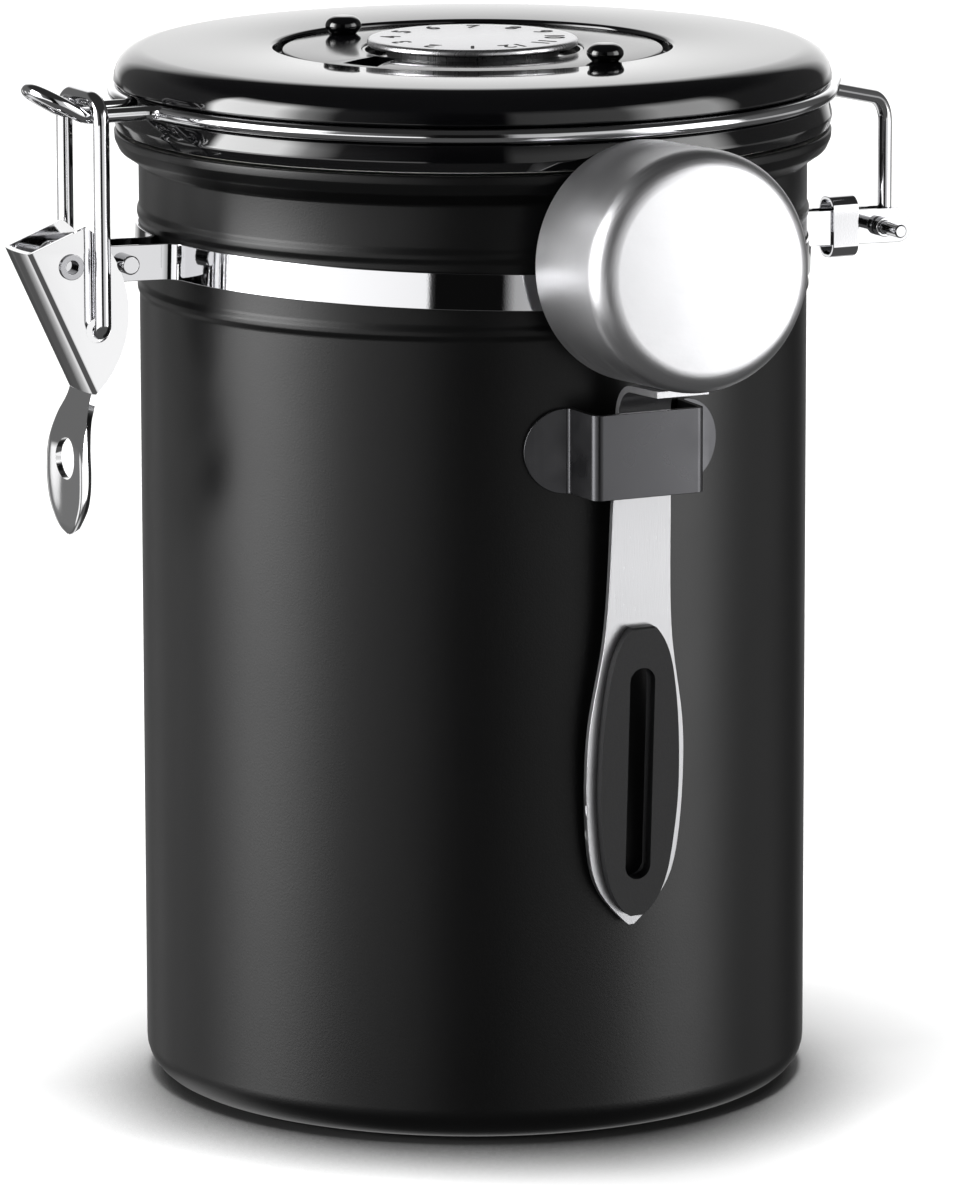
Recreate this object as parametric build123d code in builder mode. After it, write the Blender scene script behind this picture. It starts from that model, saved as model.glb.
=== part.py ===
from build123d import *
import math
import os

os.makedirs("parts", exist_ok=True)

# A one-way-valve coffee canister with a clamp lid, a date dial and a hanging scoop.
# The latch is at -X, the hinge at +X and the scoop hangs at -Y. The origin is the middle of the base.

# Fits and clearances
slip = 0.3              # between bodies that move past each other
pin_fit = 0.05          # radial, for a pin that turns in its hole
seat_fit = 0.02         # between pieces of one body that sit together
overrun = 2.0           # how far a cutting shape runs past the face it cuts

# Canister body: drawn steel shell with a flared and turned-in rim
body_radius = 58.0
body_wall = 0.8
base_edge_radius = 5.9
neck_z = 160.2
neck_bend_out = 2.2
neck_bend_up = 2.0
neck_bend_mid_share = 0.62
flare_out = 3.9
flare_up = 3.9
rim_out = 4.2
rim_z = 167.0
rim_land = 2.8
bead_height = 0.35
bead_width = 2.2
bead_offset = 6.5       # from the band's middle height

# Clamp band: two half straps that meet in ears at the latch and at the hinge
band_z = 146.3
band_tilt = 1.55
band_height = 6.2
band_thickness = 0.6
band_fit = 0.13         # radial, so the tilted strap clears the straight wall
band_bend = 3.2
ear_past_hinge = 6.6
ear_past_pivot = 3.2
ear_corner = 2.9

# Lid shell: pressed top with a rolled edge, a groove for the wire and a flange
lid_wall = 0.8
lid_top_z = 181.1
lid_flat_radius = 56.0
roll_radius = 62.2
roll_z = 176.1
roll_under_radius = 61.4
roll_under_z = 174.7
groove_radius = 59.2
groove_top_z = 173.4
groove_low_z = 172.0
flange_top_radius = 61.9
flange_top_z = 171.1
flange_radius = 62.5
flange_z = 167.5
well_radius = 34.5
well_depth = 2.6
well_edge_radius = 0.7
vent_hole_radius = 1.1
vent_circle_radius = 7.0
vent_count = 6

# Lid pan and its seal
pan_wall = 0.8
pan_radius = 56.0
pan_floor_z = 164.0
pan_flange_z = 169.6
gasket_lip = 0.7

# Date dial: fixed day plate, turning day ring with a window, month disc and two knobs
day_plate_thickness = 0.6
ring_guide_wall = 0.5
ring_guide_drop = 0.3
day_ring_radius = 33.0
day_ring_bore = 19.2
day_ring_drop = 0.5
day_ring_edge = 0.35
window_inner = 20.4
window_outer = 30.4
window_half_angle = 7.3
window_inner_azimuth = -73.5
window_outer_azimuth = -65.8
month_disc_radius = 18.3
month_disc_rise = 1.3
month_disc_edge = 1.1
month_hub_radius = 5.0
stud_radius = 2.5
stud_head_radius = 3.2
stud_head_height = 0.5
knob_radius = 3.1
knob_height = 3.0
knob_circle_radius = 29.7
knob_azimuth = 23.5
knob_shank_radius = 1.0

# One-way valve in the middle of the pan
valve_barrel_radius = 11.0
valve_wall = 1.2
valve_flange_radius = 14.0
valve_flange_thickness = 1.4
valve_height = 6.0
valve_floor = 1.2
valve_hole_radius = 1.2
valve_hole_circle = 4.0
valve_hole_count = 6
membrane_radius = 7.5
membrane_thickness = 0.8
membrane_lift = 0.6
membrane_rest_gap = 0.02
valve_cap_thickness = 1.0
filter_thickness = 0.8

# Ring wire: ring in the lid's groove, tongue at the latch, arm and leg at the hinge
ring_wire_diameter = 2.5
ring_radius = 62.0
ring_z = 173.2
tongue_half_gap = 4.8
tongue_root_bend = 3.0
tongue_pitch = 30.0
tongue_knee_past_link = 1.75
tongue_knee_bend = 6.0
tongue_tip_past_link = 9.45
arm_corners = [         # degrees before the hinge, out from the ring, below the ring
    (27.0, 0.0, 0.0), (17.9, 1.7, 0.0), (6.4, 4.9, 3.2),
]
leg_past_hinge = 2.0
leg_bend = 5.0
leg_drop = 6.6          # from the ring's height to the corner above the leg

# Hinge pin, its collars and the sleeve round the ears
hinge_out = 21.7        # from the body's wall
hinge_pin_diameter = 2.4
hinge_pin_reach = 7.6
hinge_pin_far_reach = 2.0
collar_radius = 1.75
collar_length = 1.5
sleeve_before_hinge = 9.8
sleeve_length = 5.1
sleeve_height = 10.9
sleeve_wall = 0.6
sleeve_corner_share = 0.8

# Latch lever: folded channel with a spoon-shaped tail
pivot_out = 20.4        # from the body's wall
lever_half_width = 5.5
lever_sheet = 0.8
lever_top_in = 2.8      # these reach in towards the body from the pivot
lever_top_rise = 6.6    # above the pivot
lever_back_out = 8.05   # and this one out from it
lever_back_rise = 2.5
lever_belly_in = 10.45
lever_belly_drop = 7.2
lever_foot_in = 3.55
lever_foot_drop = 22.2
lever_foot_depth = 0.7
lever_top_bend = 1.6
hook_hole_in = 4.75
hook_hole_drop = 11.2
hook_hole_radius = 2.15
tail_half_width = 8.0
tail_neck_half_width = 3.0
tail_low_z = 101.7
tail_high_z = 124.6
tail_thickness = 1.2
tail_in = 3.1
tail_neck_lap = 2.2     # up the lever's back from its foot
tail_hole_width = 7.4
tail_hole_height = 9.4
tail_hole_z = 115.3
tail_rim = 1.2
tail_rim_rise = 1.5

# Latch pins
eyelet_radius = 1.7
eyelet_bore = 1.15
eyelet_head_radius = 2.2
eyelet_head = 0.4
rivet_radius = 1.65
rivet_in = 10.5
rivet_reach = 2.4
rivet_chamfer = 0.2

# Latch link: bent wire loop over the tongue
link_wire_diameter = 2.8
link_half_width = 7.8
link_top_z = 176.6
link_top_bend = 4.0
link_foot_bend = 1.5
link_hook_end = 6.25

# Scoop clip on the body
clip_sheet = 1.0
clip_low_z = 112.5
clip_height = 14.5
clip_half_arc = 18.2
clip_front = 67.2
clip_front_half_width = 10.4
clip_root_half_width = 11.3
clip_bend = 1.6

# Scoop cup, handle and grip
cup_radius = 20.3
cup_wall = 0.7
cup_depth = 23.0
cup_edge_radius = 2.5
cup_front = 64.46
cup_z = 152.2
cup_tilt = 2.7
weld_gap = 0.05
handle_thickness = 1.2
handle_tip_z = 37.5
handle_tip_d = 59.67
handle_lean_share = 0.0524
handle_half_width = 9.15
handle_end = 78.8
handle_bend = 5.0
handle_length = 90.0
handle_cut_back = 4.8    # how far behind the strip the cut to its outline starts
handle_outline_shares = [
    (0.0, 0.06), (0.028, 0.35), (0.083, 0.743), (0.161, 0.929), (0.239, 0.989), (0.317, 1.0),
    (0.394, 0.956), (0.472, 0.831), (0.55, 0.705), (0.628, 0.643), (0.706, 0.616), (0.783, 0.601),
    (0.89, 0.57), (1.2, 0.535),
]
slot_width = 4.75
slot_low_z = 46.0
slot_high_z = 82.9
grip_thickness = 1.9
grip_edge = 0.5
grip_collar = 0.8
grip_tip_z = 39.6
grip_half_width = 7.35
grip_length = 50.4
grip_outline_shares = [
    (0.0, 0.16), (0.03, 0.4), (0.121, 0.727), (0.263, 0.909), (0.384, 0.988), (0.525, 1.0), (0.667, 0.952),
    (0.808, 0.836), (0.93, 0.62), (1.0, 0.3),
]

# Values worked out from the sizes above
tilt = math.radians(band_tilt)
hinge_x = body_radius + hinge_out
hinge_ear_end = hinge_x + ear_past_hinge
sleeve_start = hinge_x - sleeve_before_hinge
leg_x = hinge_x + leg_past_hinge
pivot_r = body_radius + pivot_out
latch_ear_end = pivot_r + ear_past_pivot
hook_hole_r = pivot_r - hook_hole_in
rivet_r = pivot_r - rivet_in
tongue_knee = hook_hole_r + tongue_knee_past_link
tongue_tip = hook_hole_r + tongue_tip_past_link
ring_wire_radius = ring_wire_diameter / 2
link_wire_radius = link_wire_diameter / 2
hinge_pin_radius = hinge_pin_diameter / 2
hinge_z = band_z - hinge_x * math.tan(tilt)
pivot_z = band_z + pivot_r * math.tan(tilt)
rivet_z = band_z + rivet_r * math.tan(tilt)
latch_ear_face = lever_half_width - lever_sheet - slip
hinge_ear_face = ring_wire_radius + slip + band_thickness
band_radius = body_radius + band_fit + band_thickness / 2
band_plane = Plane(
    origin=(0, 0, band_z), x_dir=(math.cos(tilt), 0, -math.sin(tilt)), z_dir=(math.sin(tilt), 0, math.cos(tilt))
)


def band_path(side):
    """Middle line of one half strap, seen from above: side is -1 for the front one."""
    hinge_y = side * (hinge_ear_face - band_thickness / 2)
    latch_y = side * (latch_ear_face - band_thickness / 2)
    reach = band_radius + band_bend
    hinge_centre = (math.sqrt(reach**2 - (abs(hinge_y) + band_bend) ** 2), hinge_y + side * band_bend)
    latch_centre = (-math.sqrt(reach**2 - (abs(latch_y) + band_bend) ** 2), latch_y + side * band_bend)
    hinge_touch = (hinge_centre[0] * band_radius / reach, hinge_centre[1] * band_radius / reach)
    latch_touch = (latch_centre[0] * band_radius / reach, latch_centre[1] * band_radius / reach)
    with BuildLine(band_plane) as path:
        ear = Line((hinge_ear_end, hinge_y), (hinge_centre[0], hinge_y))
        TangentArc(ear @ 1, hinge_touch, tangent=ear % 1)
        ThreePointArc(hinge_touch, (0, side * band_radius), latch_touch)
        latch_ear = Line((latch_centre[0], latch_y), (-latch_ear_end, latch_y))
        TangentArc(latch_ear @ 0, latch_touch, tangent=(latch_ear % 0) * -1)
    return path


def half_band(side):
    """One half strap with its two ears and their holes."""
    path = band_path(side)
    hinge_y = side * (hinge_ear_face - band_thickness / 2)
    start = Plane(
        origin=band_plane.from_local_coords(Vector(hinge_ear_end, hinge_y, 0)),
        x_dir=band_plane.z_dir,
        z_dir=band_plane.x_dir * -1,
    )
    with BuildPart() as strap:
        with BuildSketch(start):
            Rectangle(band_height, band_thickness)
        sweep(path=path.wire())
        ear_ends = strap.edges().filter_by(Axis.Y)
        fillet(ear_ends.sort_by(Axis.X)[-2:], ear_corner)
        fillet(strap.edges().filter_by(Axis.Y).sort_by(Axis.X)[:2], ear_corner)
        with Locations(
            Plane(origin=(hinge_x, 0, hinge_z), z_dir=(0, side, 0)),
        ):
            Cylinder(hinge_pin_radius + pin_fit, hinge_ear_face + overrun,
                     align=(Align.CENTER, Align.CENTER, Align.MIN), mode=Mode.SUBTRACT)
        with Locations(Plane(origin=(-pivot_r, 0, pivot_z), z_dir=(0, side, 0))):
            Cylinder(eyelet_radius + seat_fit, latch_ear_face + overrun,
                     align=(Align.CENTER, Align.CENTER, Align.MIN), mode=Mode.SUBTRACT)
        with Locations(Plane(origin=(-rivet_r, 0, rivet_z), z_dir=(0, side, 0))):
            Cylinder(rivet_radius + seat_fit, latch_ear_face + overrun,
                     align=(Align.CENTER, Align.CENTER, Align.MIN), mode=Mode.SUBTRACT)
    return strap.part


# Canister body
flare_z = neck_z + flare_up
with BuildPart() as canister_body:
    with BuildSketch(Plane.XZ):
        with BuildLine():
            Line((0, 0), (body_radius - base_edge_radius, 0))
            RadiusArc((body_radius - base_edge_radius, 0), (body_radius, base_edge_radius), -base_edge_radius)
            low = band_z - bead_offset
            high = band_z + bead_offset
            Line((body_radius, base_edge_radius), (body_radius, low - bead_width / 2))
            ThreePointArc((body_radius, low - bead_width / 2), (body_radius + bead_height, low),
                          (body_radius, low + bead_width / 2))
            Line((body_radius, low + bead_width / 2), (body_radius, high - bead_width / 2))
            ThreePointArc((body_radius, high - bead_width / 2), (body_radius + bead_height, high),
                          (body_radius, high + bead_width / 2))
            Line((body_radius, high + bead_width / 2), (body_radius, neck_z))
            ThreePointArc(
                (body_radius, neck_z),
                (body_radius + neck_bend_out * neck_bend_mid_share, neck_z + neck_bend_up * (1 - neck_bend_mid_share)),
                (body_radius + neck_bend_out, neck_z + neck_bend_up),
            )
            Polyline(
                (body_radius + neck_bend_out, neck_z + neck_bend_up),
                (body_radius + flare_out, flare_z),
                (body_radius + rim_out, flare_z + body_wall),
                (body_radius + rim_out, rim_z),
                (body_radius + rim_out - rim_land, rim_z),
                (body_radius + rim_out - rim_land, rim_z - body_wall),
                (body_radius + flare_out - body_wall, rim_z - body_wall),
                (body_radius + flare_out - body_wall, flare_z),
                (body_radius + neck_bend_out - body_wall, neck_z + neck_bend_up),
            )
            ThreePointArc(
                (body_radius + neck_bend_out - body_wall, neck_z + neck_bend_up),
                (body_radius - body_wall + neck_bend_out * neck_bend_mid_share,
                 neck_z + neck_bend_up * (1 - neck_bend_mid_share)),
                (body_radius - body_wall, neck_z),
            )
            Line((body_radius - body_wall, neck_z), (body_radius - body_wall, base_edge_radius))
            RadiusArc((body_radius - body_wall, base_edge_radius), (body_radius - base_edge_radius, body_wall),
                      base_edge_radius - body_wall)
            Line((body_radius - base_edge_radius, body_wall), (0, body_wall))
            Line((0, body_wall), (0, 0))
        make_face()
    revolve(axis=Axis.Z)
canister_body.part.label = "canister_body"
export_step(canister_body.part, "parts/canister_body.step")

# Clamp band
for name, side in (("band_front", -1), ("band_rear", 1)):
    strap = half_band(side)
    strap.label = name
    export_step(strap, f"parts/{name}.step")

# Sleeve round the hinge ears
sleeve_inner = hinge_ear_face + seat_fit
sleeve_middle = sleeve_start + sleeve_length / 2
with BuildPart() as hinge_sleeve:
    sleeve_z = band_z - sleeve_middle * math.tan(tilt)
    with BuildSketch(Plane(origin=(sleeve_start, 0, sleeve_z), x_dir=(0, 1, 0), z_dir=(1, 0, 0))):
        RectangleRounded(2 * (sleeve_inner + sleeve_wall), sleeve_height,
                         sleeve_inner * sleeve_corner_share + sleeve_wall)
        RectangleRounded(2 * sleeve_inner, sleeve_height - 2 * sleeve_wall, sleeve_inner * sleeve_corner_share,
                         mode=Mode.SUBTRACT)
    extrude(amount=sleeve_length)
hinge_sleeve.part.label = "hinge_sleeve"
export_step(hinge_sleeve.part, "parts/hinge_sleeve.step")

# Rivet that clamps the latch ears together
with BuildPart() as band_rivet:
    with BuildSketch(Plane(origin=(-rivet_r, latch_ear_face + rivet_reach, rivet_z), z_dir=(0, -1, 0))):
        Circle(rivet_radius)
    extrude(amount=2 * (latch_ear_face + rivet_reach))
    chamfer(band_rivet.edges().filter_by(GeomType.CIRCLE), rivet_chamfer)
band_rivet.part.label = "band_rivet"
export_step(band_rivet.part, "parts/band_rivet.step")

# Tubular pivot of the lever, with a rolled lip at each end
eyelet_reach = lever_half_width + pin_fit
with BuildPart() as lever_eyelet:
    with BuildSketch(Plane(origin=(-pivot_r, eyelet_reach, pivot_z), z_dir=(0, -1, 0))):
        Circle(eyelet_radius)
    extrude(amount=2 * eyelet_reach)
    for end in (-1, 1):
        with BuildSketch(Plane(origin=(-pivot_r, end * eyelet_reach, pivot_z), z_dir=(0, end, 0))):
            Circle(eyelet_head_radius)
        extrude(amount=eyelet_head)
    with BuildSketch(Plane(origin=(-pivot_r, eyelet_reach + overrun, pivot_z), z_dir=(0, -1, 0))):
        Circle(eyelet_bore)
    extrude(amount=2 * (eyelet_reach + overrun), mode=Mode.SUBTRACT)
lever_eyelet.part.label = "lever_eyelet"
export_step(lever_eyelet.part, "parts/lever_eyelet.step")

# Latch lever, drawn in the plane of its side plates
lever_top = (lever_top_in - pivot_r, pivot_z + lever_top_rise)
lever_back = (-pivot_r - lever_back_out, pivot_z + lever_back_rise)
lever_belly = (lever_belly_in - pivot_r, pivot_z - lever_belly_drop)
lever_foot = (lever_foot_in - pivot_r, pivot_z - lever_foot_drop)
lever_toe = (lever_foot[0] + lever_foot_depth, lever_foot[1])
lever_over_z = lever_top[1] + overrun
back_angle = math.atan2(lever_back_out + lever_foot_in, lever_back_rise + lever_foot_drop)
side_plane = Plane(origin=(0, 0, 0), x_dir=(1, 0, 0), z_dir=(0, -1, 0))
with BuildPart() as latch_lever:
    with BuildSketch(side_plane.offset(-lever_half_width)):
        with BuildLine():
            Line(lever_foot, lever_back)
            Line(lever_back, lever_top)
            ThreePointArc(lever_top, lever_belly, lever_toe)
            Line(lever_toe, lever_foot)
        make_face()
    extrude(amount=2 * lever_half_width)
    top_edge = latch_lever.edges().filter_by(Axis.Y).group_by(Axis.Z)[-1]
    fillet(top_edge, lever_top_bend)
    inner_half = lever_half_width - lever_sheet
    inset = lever_sheet / math.cos(back_angle)
    with BuildSketch(side_plane.offset(-inner_half)):
        hollow = [
            (lever_foot[0] + inset, lever_foot[1] - overrun),
            (lever_foot[0] + inset, lever_foot[1]),
            (lever_back[0] + inset, lever_back[1]),
            (lever_back[0] + inset, lever_over_z),
            (lever_belly[0] + overrun, lever_over_z),
            (lever_belly[0] + overrun, lever_foot[1] - overrun),
        ]
        with BuildLine():
            Polyline(*hollow, close=True)
        make_face()
    extrude(amount=2 * inner_half, mode=Mode.SUBTRACT)
    with Locations(Plane(origin=(-pivot_r, lever_half_width + overrun, pivot_z), z_dir=(0, -1, 0))):
        Cylinder(eyelet_radius + pin_fit, 2 * (lever_half_width + overrun),
                 align=(Align.CENTER, Align.CENTER, Align.MIN), mode=Mode.SUBTRACT)
    with Locations(Plane(origin=(-hook_hole_r, lever_half_width + overrun, pivot_z - hook_hole_drop), z_dir=(0, -1, 0))):
        Cylinder(hook_hole_radius, 2 * (lever_half_width + overrun),
                 align=(Align.CENTER, Align.CENTER, Align.MIN), mode=Mode.SUBTRACT)
    tail_plane = Plane(origin=(tail_in - pivot_r + tail_thickness / 2, 0, 0), x_dir=(0, -1, 0), z_dir=(-1, 0, 0))
    tail_middle = (tail_low_z + tail_high_z) / 2
    with BuildSketch(tail_plane):
        with Locations((0, tail_middle)):
            Ellipse(tail_half_width, (tail_high_z - tail_low_z) / 2)
        neck_height = lever_foot[1] + tail_neck_lap - tail_middle
        with Locations((0, tail_middle + neck_height / 2)):
            Rectangle(2 * tail_neck_half_width, neck_height)
    extrude(amount=tail_thickness)
    with BuildSketch(tail_plane.offset(tail_thickness)):
        with Locations((0, tail_middle)):
            Ellipse(tail_half_width, (tail_high_z - tail_low_z) / 2)
            Ellipse(tail_half_width - tail_rim, (tail_high_z - tail_low_z) / 2 - tail_rim, mode=Mode.SUBTRACT)
    extrude(amount=tail_rim_rise)
    with BuildSketch(tail_plane.offset(-overrun)):
        with Locations((0, tail_hole_z)):
            Ellipse(tail_hole_width / 2, tail_hole_height / 2)
    extrude(amount=tail_thickness + 2 * overrun, mode=Mode.SUBTRACT)
latch_lever.part.label = "latch_lever"
export_step(latch_lever.part, "parts/latch_lever.step")

# Latch link
hook_z = pivot_z - hook_hole_drop
with BuildPart() as latch_link:
    with BuildLine() as link_line:
        FilletPolyline(
            (-hook_hole_r, -link_hook_end, hook_z),
            (-hook_hole_r, -link_half_width, hook_z),
            (-hook_hole_r, -link_half_width, (hook_z + link_top_z) / 2),
            radius=link_foot_bend,
        )
        FilletPolyline(
            (-hook_hole_r, -link_half_width, (hook_z + link_top_z) / 2),
            (-hook_hole_r, -link_half_width, link_top_z),
            (-hook_hole_r, link_half_width, link_top_z),
            (-hook_hole_r, link_half_width, (hook_z + link_top_z) / 2),
            radius=link_top_bend,
        )
        FilletPolyline(
            (-hook_hole_r, link_half_width, (hook_z + link_top_z) / 2),
            (-hook_hole_r, link_half_width, hook_z),
            (-hook_hole_r, link_hook_end, hook_z),
            radius=link_foot_bend,
        )
    with BuildSketch(Plane(origin=link_line.line @ 0, z_dir=link_line.line % 0)):
        Circle(link_wire_radius)
    sweep(path=link_line.wire())
latch_link.part.label = "latch_link"
export_step(latch_link.part, "parts/latch_link.step")

# Ring wire with the tongue, the arm, the leg and the hinge pin that is welded to it
root_reach = ring_radius + tongue_root_bend
root_y = tongue_half_gap + tongue_root_bend
root_x = -math.sqrt(root_reach**2 - root_y**2)
touch_x = root_x * ring_radius / root_reach
touch_y = root_y * ring_radius / root_reach
touch_angle = math.degrees(math.atan2(touch_y, -touch_x))
pitch = math.radians(tongue_pitch)
knee_run = tongue_knee_bend * math.tan(pitch / 2)
tip_run = (tongue_tip - tongue_half_gap * math.cos(pitch) - tongue_knee) / math.cos(pitch)
tip_x = -(tongue_knee + tip_run * math.cos(pitch))
tip_z = ring_z + tip_run * math.sin(pitch)
arm_path = []
for degrees, out, drop in arm_corners:
    turn = math.radians(degrees)
    arm_path.append(((ring_radius + out) * math.cos(turn), -(ring_radius + out) * math.sin(turn), ring_z - drop))
with BuildPart() as ring_wire:
    ring_start = Plane.XZ.rotated((0, 0, 180 + touch_angle))
    with BuildSketch(ring_start):
        with Locations((ring_radius, ring_z)):
            Circle(ring_wire_radius)
    revolve(axis=Axis.Z, revolution_arc=360 - 2 * touch_angle)
    with BuildLine() as tongue_line:
        for side in (-1, 1):
            middle = Vector(root_x, side * root_y, ring_z)
            to_ring = (Vector(touch_x, side * touch_y, ring_z) - middle).normalized()
            to_strand = Vector(0, -side, 0)
            elbow = middle + (to_ring + to_strand).normalized() * tongue_root_bend
            strand_start = Vector(root_x, side * tongue_half_gap, ring_z)
            knee_start = Vector(-tongue_knee + knee_run, side * tongue_half_gap, ring_z)
            knee_end = Vector(-tongue_knee - knee_run * math.cos(pitch), side * tongue_half_gap,
                              ring_z + knee_run * math.sin(pitch))
            tip_start = Vector(tip_x, side * tongue_half_gap, tip_z)
            ThreePointArc(Vector(touch_x, side * touch_y, ring_z), elbow, strand_start)
            Line(strand_start, knee_start)
            TangentArc(knee_start, knee_end, tangent=(-1, 0, 0))
            Line(knee_end, tip_start)
        tip_far = Vector(tip_x - tongue_half_gap * math.cos(pitch), 0, tip_z + tongue_half_gap * math.sin(pitch))
        ThreePointArc(Vector(tip_x, -tongue_half_gap, tip_z), tip_far, Vector(tip_x, tongue_half_gap, tip_z))
    with BuildSketch(Plane(origin=(touch_x, -touch_y, ring_z), z_dir=(-touch_y, touch_x * -1, 0))):
        Circle(ring_wire_radius)
    sweep(path=tongue_line.wire())
    with BuildLine() as arm_line:
        FilletPolyline(*arm_path, (leg_x, 0, ring_z - leg_drop), (leg_x, 0, hinge_z - hinge_pin_radius / 2),
                       radius=leg_bend)
    with BuildSketch(Plane(origin=arm_line.line @ 0, z_dir=arm_line.line % 0)):
        Circle(ring_wire_radius)
    sweep(path=arm_line.wire())
    with BuildSketch(Plane(origin=(hinge_x, hinge_ear_face + hinge_pin_far_reach, hinge_z), z_dir=(0, -1, 0))):
        Circle(hinge_pin_radius)
    extrude(amount=2 * hinge_ear_face + hinge_pin_far_reach + hinge_pin_reach)
ring_wire.part.label = "ring_wire"
export_step(ring_wire.part, "parts/ring_wire.step")

# Collars that keep the hinge pin in the ears
with BuildPart() as pin_collars:
    for side, reach in ((-1, collar_length), (1, collar_length)):
        with BuildSketch(Plane(origin=(hinge_x, side * (hinge_ear_face + slip), hinge_z), z_dir=(0, side, 0))):
            Circle(collar_radius)
            Circle(hinge_pin_radius + seat_fit, mode=Mode.SUBTRACT)
        extrude(amount=reach)
pin_collars.part.label = "pin_collars"
export_step(pin_collars.part, "parts/pin_collars.step")

# Lid shell
well_floor_z = lid_top_z - well_depth
with BuildPart() as lid_shell:
    with BuildSketch(Plane.XZ):
        with BuildLine():
            Polyline(
                (0, well_floor_z), (well_radius - well_edge_radius, well_floor_z),
                (well_radius, well_floor_z + well_edge_radius), (well_radius, lid_top_z - well_edge_radius),
                (well_radius + well_edge_radius, lid_top_z), (lid_flat_radius, lid_top_z),
            )
            ThreePointArc(
                (lid_flat_radius, lid_top_z),
                (lid_flat_radius + (roll_radius - lid_flat_radius) * math.sin(math.pi / 4),
                 roll_z + (lid_top_z - roll_z) * math.sin(math.pi / 4)),
                (roll_radius, roll_z),
            )
            Polyline(
                (roll_radius, roll_z), (roll_under_radius, roll_under_z), (groove_radius, groove_top_z),
                (groove_radius, groove_low_z), (flange_top_radius - lid_wall, groove_low_z),
                (flange_top_radius, flange_top_z), (flange_radius, flange_z), (flange_radius - lid_wall, flange_z),
                (flange_top_radius - lid_wall, flange_top_z - lid_wall), (groove_radius - lid_wall, groove_low_z - lid_wall),
                (groove_radius - lid_wall, groove_top_z + lid_wall / 2),
                (roll_under_radius - lid_wall, roll_under_z + lid_wall / 2), (roll_radius - lid_wall, roll_z),
            )
            ThreePointArc(
                (roll_radius - lid_wall, roll_z),
                (lid_flat_radius + (roll_radius - lid_wall - lid_flat_radius) * math.sin(math.pi / 4),
                 roll_z + (lid_top_z - lid_wall - roll_z) * math.sin(math.pi / 4)),
                (lid_flat_radius, lid_top_z - lid_wall),
            )
            Polyline(
                (lid_flat_radius, lid_top_z - lid_wall), (well_radius + lid_wall, lid_top_z - lid_wall),
                (well_radius + lid_wall, well_floor_z - lid_wall), (0, well_floor_z - lid_wall), (0, well_floor_z),
            )
        make_face()
    revolve(axis=Axis.Z)
    with BuildSketch(Plane.XY.offset(well_floor_z + overrun)):
        Circle(stud_radius + seat_fit)
        with PolarLocations(vent_circle_radius, vent_count):
            Circle(vent_hole_radius)
    extrude(amount=-(lid_wall + 2 * overrun), mode=Mode.SUBTRACT)
lid_shell.part.label = "lid_shell"
export_step(lid_shell.part, "parts/lid_shell.step")

# Lid pan that closes the lid from below
with BuildPart() as lid_pan:
    with BuildSketch(Plane.XZ):
        with BuildLine():
            Polyline(
                (0, pan_floor_z), (pan_radius - pan_wall, pan_floor_z), (pan_radius, pan_floor_z + pan_wall),
                (pan_radius, pan_flange_z), (flange_top_radius - lid_wall - seat_fit, pan_flange_z),
                (flange_top_radius - lid_wall - seat_fit, pan_flange_z + pan_wall / 2),
                (pan_radius - pan_wall, pan_flange_z + pan_wall / 2),
                (pan_radius - pan_wall, pan_floor_z + pan_wall), (0, pan_floor_z + pan_wall), close=True,
            )
        make_face()
    revolve(axis=Axis.Z)
    with BuildSketch(Plane.XY.offset(pan_floor_z - overrun)):
        Circle(valve_barrel_radius + seat_fit)
    extrude(amount=pan_wall + 2 * overrun, mode=Mode.SUBTRACT)
lid_pan.part.label = "lid_pan"
export_step(lid_pan.part, "parts/lid_pan.step")

# Seal between the lid and the canister's rim
with BuildPart() as lid_gasket:
    with BuildSketch(Plane.XZ):
        with BuildLine():
            gasket_inner = pan_radius + seat_fit
            gasket_outer = flange_top_radius - lid_wall - slip
            Polyline(
                (gasket_inner, rim_z + slip), (gasket_outer, rim_z + slip),
                (gasket_outer, pan_flange_z - seat_fit), (gasket_inner, pan_flange_z - seat_fit),
                (gasket_inner, rim_z + slip + gasket_lip), (gasket_inner + gasket_lip, rim_z + slip + gasket_lip / 2),
                close=True,
            )
        make_face()
    revolve(axis=Axis.Z)
lid_gasket.part.label = "lid_gasket"
export_step(lid_gasket.part, "parts/lid_gasket.step")

# Stud in the middle of the dial, riveted through the well's floor
ring_top_z = lid_top_z - day_ring_drop
plate_top_z = well_floor_z + day_plate_thickness
ring_low_z = plate_top_z + slip
disc_top_z = lid_top_z + month_disc_rise
stud_top_z = disc_top_z - month_disc_edge - slip
with BuildPart() as dial_stud:
    with BuildSketch(Plane.XY.offset(well_floor_z - lid_wall - stud_head_height)):
        Circle(stud_head_radius)
    extrude(amount=stud_head_height)
    with BuildSketch(Plane.XY.offset(well_floor_z - lid_wall)):
        Circle(stud_radius)
    extrude(amount=stud_top_z - well_floor_z + lid_wall)
    fillet(dial_stud.edges().group_by(Axis.Z)[-1], day_ring_edge)
dial_stud.part.label = "dial_stud"
export_step(dial_stud.part, "parts/dial_stud.step")

# Day plate under the ring, with a collar that the ring turns on
with BuildPart() as day_plate:
    with BuildSketch(Plane.XY.offset(well_floor_z)):
        Circle(well_radius - well_edge_radius - slip)
        Circle(vent_circle_radius + vent_hole_radius + slip, mode=Mode.SUBTRACT)
    extrude(amount=day_plate_thickness)
    with BuildSketch(Plane.XY.offset(well_floor_z)):
        Circle(day_ring_bore - pin_fit)
        Circle(day_ring_bore - pin_fit - ring_guide_wall, mode=Mode.SUBTRACT)
    extrude(amount=ring_top_z - ring_guide_drop - well_floor_z)
day_plate.part.label = "day_plate"
export_step(day_plate.part, "parts/day_plate.step")

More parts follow.
